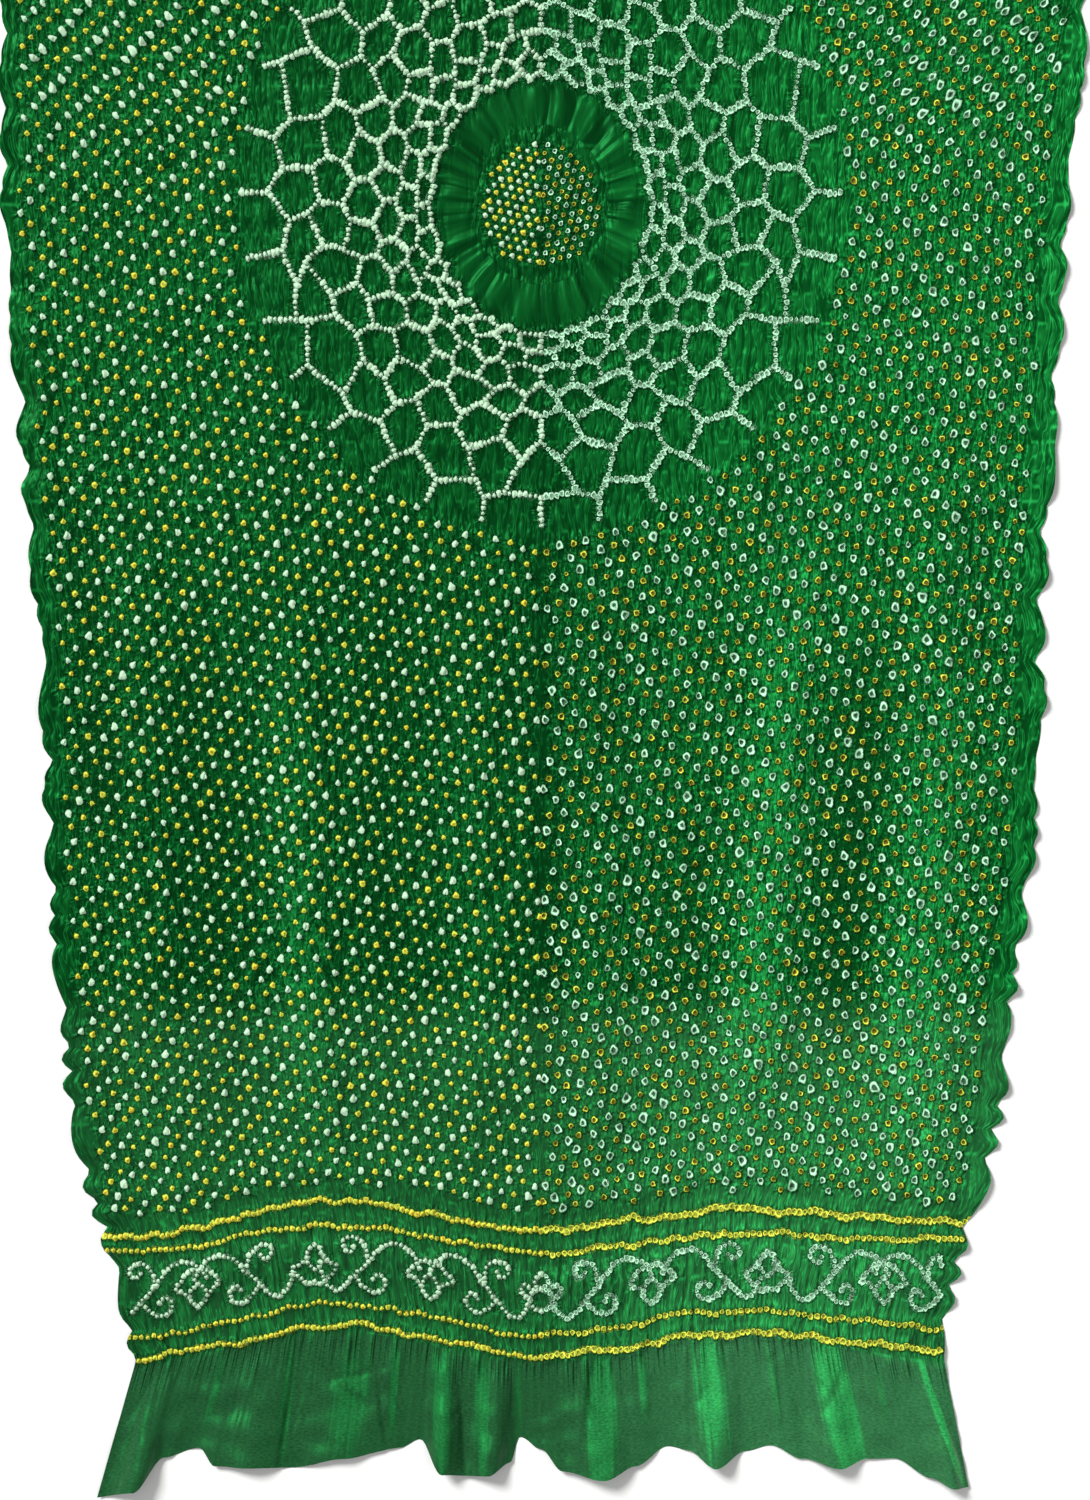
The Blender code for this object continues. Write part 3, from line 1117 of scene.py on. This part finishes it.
        wave += self.frill_crumple.on(points[:, 0], points[:, 1]) * ease(down * 2)
        fold_line = self.form.frill_lines(self.form.creases, share, down)
        wave -= fold_line
        crease = np.exp(-(points[:, 0] / self.crease_width) ** 2)
        crease = crease * (ease((np.abs(points[:, 1]) - 0.05) / 0.1))
        wave -= self.crease_depth * crease
        zone = np.stack([field + 0.8 * netted + tied, ringed, down], axis=1)
        return knotted + wave, fold_line, zone

    def build(self, book: KnotBook, medallion: Medallion) -> bpy.types.Object:
        """Makes the sheet.

        Args:
            book: The cloth's knots.
            medallion: Says where its cells and its plain ring are.

        Returns:
            The sheet's object.
        """
        knots = book.knots
        runs = self.row_runs()
        mesh = self.flat_grid(medallion, runs)
        flat = np.zeros(len(mesh.vertices) * 3)
        mesh.vertices.foreach_get("co", flat)
        share, run = self.params(flat.reshape(-1, 3), runs)
        points = self.form.place(share, run)
        tree = self.knot_tree(knots)
        self.gather_on_knots(points, knots, tree)
        height, fold_line, zone = self.relief(points, share, run, knots, tree, medallion)
        # The broad folds' painted light and shade, for the material.
        painted_fold_light = self.form.painted_field_fold_light(points[:, 0], points[:, 1])
        # The frill crests' painted sheen, for the material.
        crest = self.form.frill_lines(self.form.painted_frill_sheens, share, self.form.down(run))
        points[:, 2] = np.maximum(points[:, 2] + height + self.lift, self.lift)
        self.write_knots(mesh, points, knots, tree)
        self.write_weave(mesh, share, run)
        # The material gets the broad folds' painted light and shade, the frill creases' depth in millimetres,
        # which it paints as shade, and the frill crests' painted sheen.
        folds = np.stack([painted_fold_light, fold_line * MM, crest], axis=1)
        for name, values in (("zone", zone), ("folds", folds)):
            attribute = mesh.attributes.new(name, "FLOAT_VECTOR", "POINT")
            attribute.data.foreach_set("vector", values.ravel())
        middle = (points.min(axis=0) + points.max(axis=0)) / 2
        points[:, :2] -= middle[:2]
        mesh.vertices.foreach_set("co", points.ravel())
        mesh.update()
        mesh.shade_smooth()
        sheet = bpy.data.objects.new("bandhani_sheet", mesh)
        bpy.context.scene.collection.objects.link(sheet)
        return sheet

    def write_weave(self, mesh: bpy.types.Mesh, share: np.ndarray, run: np.ndarray) -> None:
        """Writes the flat cloth's own millimetres as the UV map that the weave follows.

        Args:
            mesh: The sheet's mesh.
            share: Its points' shares across the cloth.
            run: Its points' runs along it.
        """
        corner = np.zeros(len(mesh.loops), int)
        mesh.loops.foreach_get("vertex_index", corner)
        stretch = self.flat_length / 2 / (self.form.waist + self.form.frill)
        flat = np.stack([share * self.flat_width / 2, run * stretch], axis=1) * MM
        weave = mesh.uv_layers.new(name="weave")
        weave.data.foreach_set("uv", flat[corner].ravel())

    def write_knots(self, mesh: bpy.types.Mesh, points: np.ndarray, knots: list[Knot], tree: KDTree) -> None:
        """Writes on each face where it lies from its two nearest knots, for the material.

        Args:
            mesh: The sheet's mesh.
            points: Its points.
            knots: The knots.
            tree: Their search tree.
        """
        table = np.array([(k.across, k.along, k.angle, k.run, k.pitch, k.count, k.radius, k.stretch,
                           k.dye.value) for k in knots])
        corner = np.zeros(len(mesh.loops), int)
        mesh.loops.foreach_get("vertex_index", corner)
        size = np.zeros(len(mesh.polygons), int)
        mesh.polygons.foreach_get("loop_total", size)
        owner = np.repeat(np.arange(len(size)), size)
        centre = np.zeros((len(size), 2))
        np.add.at(centre, owner, points[corner, :2])
        centre /= size[:, None]
        first = np.zeros(len(size), int)
        second = np.zeros(len(size), int)
        for face, (across, along) in enumerate(centre):
            found = tree.find_n((across, along, 0.0), self.nearest)
            first[face] = found[0][1]
            group = knots[found[0][1]].group
            other = [index for _, index, _ in found if knots[index].group != group]
            second[face] = other[0] if other else found[0][1]
        for layer, chosen in (("first", first), ("second", second)):
            row = table[chosen[owner]]
            offset = points[corner, :2] - row[:, :2]
            cosine, sine = np.cos(row[:, 2]), np.sin(row[:, 2])
            along = offset[:, 0] * cosine + offset[:, 1] * sine + row[:, 3]
            across = offset[:, 1] * cosine - offset[:, 0] * sine
            seed = np.array([knot.group for knot in knots], float)[chosen[owner]]
            place = np.stack([along * MM, across * MM, seed % 997], axis=1)
            form = np.stack([row[:, 4] * MM, row[:, 6] * MM, row[:, 7]], axis=1)
            dye = np.stack([row[:, 8], (row[:, 0] > 0).astype(float), row[:, 5]], axis=1)
            for name, values in (("place", place), ("form", form), ("dye", dye)):
                attribute = mesh.attributes.new(f"{layer}_{name}", "FLOAT_VECTOR", "CORNER")
                attribute.data.foreach_set("vector", values.ravel())


class Wire:
    """One number of a material: Python's operators on it add the Math nodes."""

    def __init__(self, board: "Board", socket: bpy.types.NodeSocket) -> None:
        """Wraps a socket of a board's nodes."""
        self.board = board
        self.socket = socket

    def __add__(self, other: "Value") -> "Wire":
        """This number and another."""
        return self.board.math("ADD", self, other)

    def __radd__(self, other: "Value") -> "Wire":
        """Another number and this."""
        return self.board.math("ADD", other, self)

    def __sub__(self, other: "Value") -> "Wire":
        """This number less another."""
        return self.board.math("SUBTRACT", self, other)

    def __rsub__(self, other: "Value") -> "Wire":
        """Another number less this."""
        return self.board.math("SUBTRACT", other, self)

    def __mul__(self, other: "Value") -> "Wire":
        """This number times another."""
        return self.board.math("MULTIPLY", self, other)

    def __rmul__(self, other: "Value") -> "Wire":
        """Another number times this."""
        return self.board.math("MULTIPLY", other, self)

    def __truediv__(self, other: "Value") -> "Wire":
        """This number by another."""
        return self.board.math("DIVIDE", self, other)

    def __neg__(self) -> "Wire":
        """This number turned round."""
        return self.board.math("MULTIPLY", self, -1.0)


Value = Wire | float | int


class Board:
    """A material's node tree, with the few calls that its finishes are written in."""

    def __init__(self, name: str) -> None:
        """Starts an empty material."""
        self.material = bpy.data.materials.new(name)
        self.material.use_nodes = True
        self.tree = self.material.node_tree
        self.tree.nodes.clear()

    def node(self, kind: str, settings: dict[str, object] | None = None, out: int | str = 0,
             **values: object) -> Wire:
        """Adds one node.

        Args:
            kind: The node's type.
            settings: The node's own settings, set first.
            out: Which of its outputs is wanted.
            **values: A value or wire for each named input, with _ for a space, or in_N by number.

        Returns:
            The wanted output.
        """
        made = self.tree.nodes.new(kind)
        for key, value in (settings or {}).items():
            setattr(made, key, value)
        for key, value in values.items():
            socket = made.inputs[int(key[3:]) if key.startswith("in_") else key.replace("_", " ")]
            if isinstance(value, Wire):
                self.tree.links.new(value.socket, socket)
            else:
                socket.default_value = value
        return Wire(self, made.outputs[out]) if made.outputs else Wire(self, made.inputs[0])

    def math(self, operation: str, *values: Value) -> Wire:
        """Adds a Math node on its values."""
        inputs = {f"in_{number}": value for number, value in enumerate(values)}
        return self.node("ShaderNodeMath", {"operation": operation}, **inputs)

    def step(self, low: Value, high: Value, value: Value) -> Wire:
        """A smooth step.

        Args:
            low: Where it leaves 0.
            high: Where it reaches 1.
            value: The number that is stepped.

        Returns:
            From 0 to 1.
        """
        settings = {"interpolation_type": "SMOOTHSTEP"}
        return self.node("ShaderNodeMapRange", settings, Value=value, From_Min=low, From_Max=high)

    def mix(self, share: Value, first: object, second: object) -> Wire:
        """Mixes two colours.

        Args:
            share: How much of the second there is.
            first: The first colour.
            second: The second colour.

        Returns:
            The mixed colour.
        """
        return self.node("ShaderNodeMix", {"data_type": "RGBA"}, 2, in_0=share, in_6=first, in_7=second)

    def tint(self, colour: object, amount: Value) -> Wire:
        """A colour made lighter or darker all through.

        Args:
            colour: The colour.
            amount: What it is multiplied by.

        Returns:
            The new colour.
        """
        return self.node("ShaderNodeVectorMath", {"operation": "SCALE"}, in_0=colour, Scale=amount)

    def split(self, vector: Wire) -> tuple[Wire, Wire, Wire]:
        """A vector's three numbers."""
        made = self.node("ShaderNodeSeparateXYZ", Vector=vector).socket.node
        return tuple(Wire(self, made.outputs[axis]) for axis in range(3))

    def join(self, first: Value, second: Value, third: Value = 0.0) -> Wire:
        """Three numbers as a vector."""
        return self.node("ShaderNodeCombineXYZ", X=first, Y=second, Z=third)

    def attribute(self, name: str) -> Wire:
        """A vector that is written on the mesh."""
        return self.node("ShaderNodeAttribute", {"attribute_name": name}, "Vector")

    def noise(self, vector: Wire, scale: float, detail: float = 2.0) -> Wire:
        """Soft noise from 0 to 1."""
        return self.node("ShaderNodeTexNoise", None, 0, Vector=vector, Scale=scale, Detail=detail)

    def scatter(self, vector: Wire) -> Wire:
        """A number from 0 to 1 that is its own for each vector."""
        return self.node("ShaderNodeTexWhiteNoise", {"noise_dimensions": "3D"}, "Value", Vector=vector)


class KnotMarks(NamedTuple):
    """What one layer of knots gives the cloth's material."""

    cover: Wire
    yellow: Wire
    tip: Wire
    hole: Wire
    side: Wire
    height: Wire
    pucker: Wire
    # Painted shade in a ring round the knot's base.
    painted_knot_shade: Wire
    distance: Wire
    beside: Wire
    # A painted highlight: a thin light line along each single knot.
    ridge: Wire


@dataclass(frozen=True)
class DyedSilk:
    """The finish of the cloth: green dyed silk with undyed and yellow knots, with the light and shade of its
    folds and crinkle painted into its green.
    """

    # The green's painted-shade, middle and painted-light tones, which the tone chooses between.
    shaded_green: tuple[float, float, float, float] = (0.0005, 0.025, 0.0032, 1)
    middle: tuple[float, float, float, float] = (0.0032, 0.100, 0.0155, 1)
    lit_green: tuple[float, float, float, float] = (0.0130, 0.270, 0.0560, 1)
    grey: tuple[float, float, float, float] = (0.036, 0.160, 0.062, 1)
    halo: tuple[float, float, float, float] = (0.030, 0.085, 0.004, 1)
    white: tuple[float, float, float, float] = (0.55, 0.83, 0.57, 1)
    mint: tuple[float, float, float, float] = (0.51, 0.91, 0.60, 1)
    yellow: tuple[float, float, float, float] = (0.76, 0.84, 0.085, 1)
    orange: tuple[float, float, float, float] = (0.80, 0.46, 0.020, 1)
    rust: tuple[float, float, float, float] = (0.34, 0.15, 0.012, 1)
    pit: tuple[float, float, float, float] = (0.003, 0.030, 0.008, 1)
    gloss: tuple[float, float, float, float] = (0.03, 1.0, 0.20, 1)
    roughness: float = 0.42

    def knots(self, board: Board, layer: str) -> KnotMarks:
        """Draws one layer of knots from what the mesh says of its nearest knots.

        Args:
            board: The material's board.
            layer: The layer's name on the mesh.

        Returns:
            The layer's marks.
        """
        along, across, seed = board.split(board.attribute(f"{layer}_place"))
        pitch, radius, stretch = board.split(board.attribute(f"{layer}_form"))
        yellow, hollow, count = board.split(board.attribute(f"{layer}_dye"))
        single = board.math("LESS_THAN", count, 1.5)
        number = board.math("FLOOR", along / pitch)
        number = board.math("MINIMUM", board.math("MAXIMUM", number, 0.0), count - 1)
        along = along - (number + 0.5) * pitch
        draw = board.scatter(board.join(seed, number))
        other = board.scatter(board.join(number + 7.0, seed))
        sway = across + board.math("SINE", along * 0.6 + draw * 20) * 0.9
        # Painted highlight: a thin wavering light line along each single knot, not a bump.
        ridge = (1 - board.step(0.3, 1.2, board.math("ABSOLUTE", sway))) * single
        ridge = ridge * (1 - board.step(4.5, 8.5, board.math("ABSOLUTE", along)))
        across = across + (other - 0.5) * 2.2 * (1 - single)
        across = across + across * along / radius * 0.12 * single * (1 - hollow)
        long = along / stretch
        angle = board.math("ARCTAN2", across, long)
        distance = board.math("SQRT", long * long + across * across)
        wobble = board.math("SINE", angle * 4 + draw * 20) * 0.07
        wobble = wobble + board.math("SINE", angle * 3 + other * 30) * 0.10 + 1
        reach = radius * wobble * (0.82 + 0.36 * draw + 0.40 * (draw - 0.5) * (1 - single) * (1 - yellow))
        reach = reach * (1 - 0.08 * yellow * hollow * single)
        share = distance / reach
        solid = 1 - board.step(0.84, 1.14, share)
        side = board.math("SINE", angle + other * 40)
        hole = 1 - board.step(0.46, 0.72, share + 0.16 * side + 0.24 * (other - 0.5) - 0.18 * yellow * single)
        hole = hole * hollow * (0.65 + 0.35 * single)
        tip = (1 - board.step(0.05, 0.75, share + 0.25 * side)) * (1 - hollow)
        tip = tip * board.step(0.35 - 0.3 * yellow, 0.65 - 0.3 * yellow, draw)
        peak = (1 - board.step(0.0, 1.5, share)) * (1 - hollow)
        rim = (board.step(0.1, 0.7, share) - board.step(0.8, 1.8, share)) * hollow
        fade = board.step(0.8, 1.3, share) * (1 - board.step(1.3, 4.0, share))
        fans = board.math("SINE", angle * 5 + draw * 40) + 0.7 * board.math("SINE", angle * 9 + other * 60)
        # Painted shade in a ring round each knot's base.
        painted_knot_shade = board.step(0.8, 1.1, share) * (1 - board.step(1.1, 1.9, share))
        beside = board.math("ABSOLUTE", across) / (distance + 0.1)
        return KnotMarks(solid, yellow, tip, hole, side, peak + rim, fans * fade, painted_knot_shade, distance, beside,
                         ridge)

    def build(self) -> bpy.types.Material:
        """Makes the material."""
        board = Board("dyed_silk")
        place = board.node("ShaderNodeTexCoord", None, "Object")
        weave = board.node("ShaderNodeUVMap", {"uv_map": "weave"})
        wide, run, _ = board.split(place)
        warp, weft, _ = board.split(weave)
        crumpled, ringed, down = board.split(board.attribute("zone"))
        # The broad folds' painted light and shade, the frill creases' depth, and the frill crests' painted
        # sheen.
        painted_fold_light, fold_line, painted_sheen_crest = board.split(board.attribute("folds"))
        first, other = self.knots(board, "first"), self.knots(board, "second")
        cover = board.math("MAXIMUM", first.cover, other.cover)
        second = board.step(0.0, 0.02, other.cover - first.cover)
        yellow = first.yellow + (other.yellow - first.yellow) * second
        tip = first.tip + (other.tip - first.tip) * second
        hole = first.hole + (other.hole - first.hole) * second
        side = first.side + (other.side - first.side) * second
        # Painted shade in the creases between neighbouring knots, where they are about equally near.
        crease = 1 - board.step(0.0, 3.0, board.math("ABSOLUTE", other.distance - first.distance))
        crease = crease * (0.25 + 0.75 * first.beside) * crumpled
        crease = crease * (1 - board.step(8.0, 12.0, first.distance))
        # Painted shade round the bases of both knots.
        painted_knot_shade = board.math("MAXIMUM", first.painted_knot_shade, other.painted_knot_shade)
        # The puckers round the knots painted as light and shade; they also bump the surface.
        painted_pucker_light = first.pucker + other.pucker
        # Painted highlight lines along single knots, in the crumpled cloth.
        ridge = board.math("MAXIMUM", first.ridge, other.ridge) * crumpled

        length = board.math("ABSOLUTE", run)
        frilled = board.step(0.0, 0.12, down)
        gathered = frilled * (1 - board.step(0.02, 0.42, down))
        right = board.step(-0.02, 0.17, wide)
        end = board.step(0.655, 0.71, length)
        selvedge = board.step(0.84, 0.98, board.math("ABSOLUTE", warp) / (0.5 * MM)) * end * (1 - frilled)
        # Painted shade along the cloth's middle fold, weaker in the plain ring.
        painted_middle_fold_shade = (1 - board.step(0.0005, 0.0040, board.math("ABSOLUTE", wide))) * (1 - 0.5 * ringed)
        near_line = board.step(0.85, 0.88, length) * (1 - frilled)
        blotch = board.noise(place, 160.0, 1.0)
        slubs = board.noise(board.join(warp * 0.22, weft * 0.7), 1.0, 1.0) - 0.5
        turn = board.math("ARCTAN2", wide, -run)
        out = board.math("SQRT", wide * wide + run * run)
        spokes = board.join(board.math("SINE", turn) * 7, board.math("COSINE", turn) * 7, out * 9)
        in_ring = board.math("GREATER_THAN", ringed, 0.4)
        in_frill = board.math("GREATER_THAN", down, 0.0)
        coarse = board.mix(in_ring, board.join(warp * 0.17, weft * 0.07, 5.0), spokes)
        coarse = board.mix(in_frill, coarse, board.join(warp * 0.20, weft * 0.006, 2.0))
        soft = board.noise(coarse, 1.0, 1.0) - 0.5
        sway = board.math("SINE", weft * 0.11 + wide * 40) * 0.3
        streaks = board.noise(board.join(warp * 0.24 + sway, weft * 0.036), 1.0, 0.0) - 0.5
        # Painted highlights: thin light lines along the crinkle's streaks.
        streak_highlight = 1 - board.step(0.005, 0.05, board.math("ABSOLUTE", streaks))
        # The fine streaks painted as light and shade, stronger near the tied lines; they also bump the
        # surface.
        fine = 1.3 * streaks * (crumpled + 1.2 * near_line) + (streak_highlight - 0.17) * crumpled
        # Painted sheen on the frill's crests, with soft noise at its edges.
        crest = board.step(0.02, 0.60, painted_sheen_crest + 0.4 * soft) * frilled
        # Painted light and shade of the broad folds, weaker at the ends.
        painted_fold_light = painted_fold_light * (1 - 0.35 * end)
        # tone is mostly painted light and shade: the crinkle's streaks and soft wrinkles, ring pleats and
        # frill gathers, which also bump the surface, the broad folds and the frill's sheen; the soft noise
        # also varies it at random.
        tone = 0.27 + (0.50 + 0.4 * painted_fold_light) * fine + soft * (0.8 * crumpled + 1.3 * ringed + 1.5 * gathered)
        tone = tone + painted_fold_light * (1 - frilled) + 0.74 * crest + 1.0 * soft * frilled
        # Painted shade in the frill's creases and painted light on its ridges, a painted highlight along
        # single knots, and painted shade along the middle fold.
        tone = tone - fold_line * 0.26 + 0.32 * ridge - 0.30 * painted_middle_fold_shade * (1 - 0.5 * end) * (1 - frilled)
        # Painted light and shade of the puckers round the knots, and painted shade in the creases between
        # them.
        tone = tone + 0.18 * painted_pucker_light * crumpled - crease * 0.18 * (1 - near_line)
        tone = tone - 0.03 * ringed - 0.08 * frilled
        # Painted shade and painted light: darker green for low tone, lighter green for high tone.
        green = board.mix(board.step(0.0, 0.5, tone), self.shaded_green, self.middle)
        green = board.mix(board.step(0.4, 1.0, tone), green, self.lit_green)
        # Greyer towards the ends and down the frill, and less grey on the frill's painted sheen.
        greyed = end * 0.20 + frilled * (0.46 + 0.20 * right) - (0.28 + 0.22 * right) * crest
        green = board.mix(greyed, green, self.grey)
        upper = (1 - board.step(0.15, 0.45, length)) * board.step(0.18, 0.30, board.math("ABSOLUTE", wide))
        gain = 0.80 + 0.32 * end * (1 - frilled) - 0.20 * frilled + 0.22 * upper
        cloth = (0.92 + slubs * (0.1 + 1.4 * frilled)) * gain
        # The right half is painted lighter, as if more lit, with more painted sheen on its frill crests;
        # painted shade round each knot's base.
        cloth = cloth * (1 + right * (0.80 - 0.22 * frilled + 0.75 * crest)) * (1 - 0.6 * painted_knot_shade)
        cloth = cloth * (1 - 0.3 * selvedge)
        # A dark olive colour round yellow knots, laid in their painted shade ring.
        green = board.mix(painted_knot_shade * yellow * 0.5, board.tint(green, cloth), self.halo)
        mint = board.step(-0.001, 0.001, wide)
        dyed = board.mix(board.step(0.5, 0.68, blotch) * (0.45 - 0.25 * mint), self.yellow, self.orange)
        knot = board.mix(yellow, board.mix(mint, self.white, self.mint), dyed)
        knot = board.mix(tip * (0.25 + 0.65 * yellow), knot, self.rust)
        knot = board.tint(knot, (0.74 + 0.50 * blotch) * (1 + 0.22 * side * mint))
        knot = board.mix(hole * 0.92, knot, board.mix(yellow, self.pit, board.tint(self.rust[:3], 0.25)))
        colour = board.mix(cover, green, knot)

        height = first.height * 1.7 + 0.6 * first.pucker + 1.6 * streaks * crumpled
        height = height + soft * (0.3 + 2.4 * crumpled + 8.0 * ringed + 5.0 * gathered)
        bump = board.node("ShaderNodeBump", None, "Normal", Strength=1.0, Distance=1 / MM, Height=height)
        shader = board.node(
            "ShaderNodeBsdfPrincipled", None, 0, Base_Color=colour, Normal=bump,
            Roughness=self.roughness + 0.3 * cover, Specular_IOR_Level=0.4, Specular_Tint=self.gloss,
        )
        board.node("ShaderNodeOutputMaterial", Surface=shader)
        return board.material


@dataclass(frozen=True)
class Studio:
    """The pale floor, the soft light and the camera straight above the cloth."""

    pixel: float = 0.00085
    picture: tuple[int, int] = (1090, 1500)
    medallion_pixel: tuple[float, float] = (541.0, 205.0)
    distance: float = 2.6
    sensor: float = 36.0
    floor_size: float = 9.0
    floor_colour: tuple[float, float, float, float] = (0.86, 0.86, 0.85, 1)
    floor_shade: tuple[float, float, float, float] = (0.82, 0.82, 0.81, 1)

    def floor(self) -> None:
        """Lays the floor that the cloth rests on."""
        made = bmesh.new()
        bmesh.ops.create_grid(made, x_segments=1, y_segments=1, size=self.floor_size / 2)
        mesh = bpy.data.meshes.new("floor")
        made.to_mesh(mesh)
        made.free()
        board = Board("pale_floor")
        grain = board.noise(board.node("ShaderNodeTexCoord", None, "Object"), 3.0)
        colour = board.mix(grain, self.floor_colour, self.floor_shade)
        shader = board.node("ShaderNodeBsdfPrincipled", None, 0, Base_Color=colour, Roughness=0.9)
        board.node("ShaderNodeOutputMaterial", Surface=shader)
        mesh.materials.append(board.material)
        floor = bpy.data.objects.new("floor", mesh)
        bpy.context.scene.collection.objects.link(floor)

    def lights(self) -> None:
        """Hangs one broad light at the upper left, a weak one opposite, and an even sky."""
        for name, energy, angle, place in (
            ("main_light", 3.9, 20.0, (-0.80, 0.85, 0.95)),
            ("fill_light", 0.4, 60.0, (0.9, -0.5, 1.2)),
        ):
            lamp = bpy.data.lights.new(name, "SUN")
            lamp.energy = energy
            lamp.angle = math.radians(angle)
            light = bpy.data.objects.new(name, lamp)
            light.rotation_euler = Vector(place).to_track_quat("Z", "Y").to_euler()
            bpy.context.scene.collection.objects.link(light)
        world = bpy.data.worlds.new("soft_sky")
        world.use_nodes = True
        world.node_tree.nodes["Background"].inputs["Color"].default_value = (1, 1, 1, 1)
        world.node_tree.nodes["Background"].inputs["Strength"].default_value = 0.40
        bpy.context.scene.world = world

    def camera(self, middle: tuple[float, float]) -> None:
        """Places the camera straight above the part of the cloth that the picture shows.

        Args:
            middle: Where the medallion's middle lies.
        """
        lens = bpy.data.cameras.new("camera")
        lens.sensor_width = self.sensor
        seen = self.picture[1] * self.pixel
        lens.lens = self.sensor * self.distance / seen
        camera = bpy.data.objects.new("camera", lens)
        across = (self.picture[0] / 2 - self.medallion_pixel[0]) * self.pixel
        along = (self.medallion_pixel[1] - self.picture[1] / 2) * self.pixel
        camera.location = (middle[0] + across, middle[1] + along, self.distance)
        bpy.context.scene.collection.objects.link(camera)
        bpy.context.scene.camera = camera


def outline_shift(form: LaidForm) -> tuple[float, float]:
    """How far the solid was moved to centre its outline, so that the knots follow it.

    Args:
        form: The cloth's laid form.

    Returns:
        The medallion's middle on the surface.
    """
    run = np.linspace(-form.waist, form.waist, OUTLINE_ROWS)
    left = form.place(np.full(OUTLINE_ROWS, -1.0), run)[:, 0].min()
    right = form.place(np.full(OUTLINE_ROWS, 1.0), run)[:, 0].max()
    return -(left + right) / 2, 0.0


def main() -> None:
    """Builds the cloth and its studio, and reports each piece."""
    logging.basicConfig(level=logging.INFO, format="%(message)s")
    rng = np.random.default_rng(7)
    form = LaidForm()
    medallion = Medallion()
    border = Border(form)
    book = KnotBook([])
    medallion.tie(book, rng)
    border.tie(book)
    FieldKnots(form, medallion, border).tie(book, rng)
    LOG.info("knots: %d places in %d groups", len(book.knots), book.groups)

    cloth = ClothSheet(form)
    sheet = cloth.build(book, medallion)
    sheet.data.materials.append(DyedSilk().build())
    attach(sheet, "root")
    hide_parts("cloth")
    LOG.info("bandhani sheet: %d points, %d faces", len(sheet.data.vertices), len(sheet.data.polygons))

    studio = Studio()
    studio.floor()
    studio.lights()
    studio.camera(outline_shift(form))
    bpy.context.scene.view_settings.view_transform = "Standard"
    LOG.info("floor, light and camera are in place")


if __name__ == "__main__":
    main()
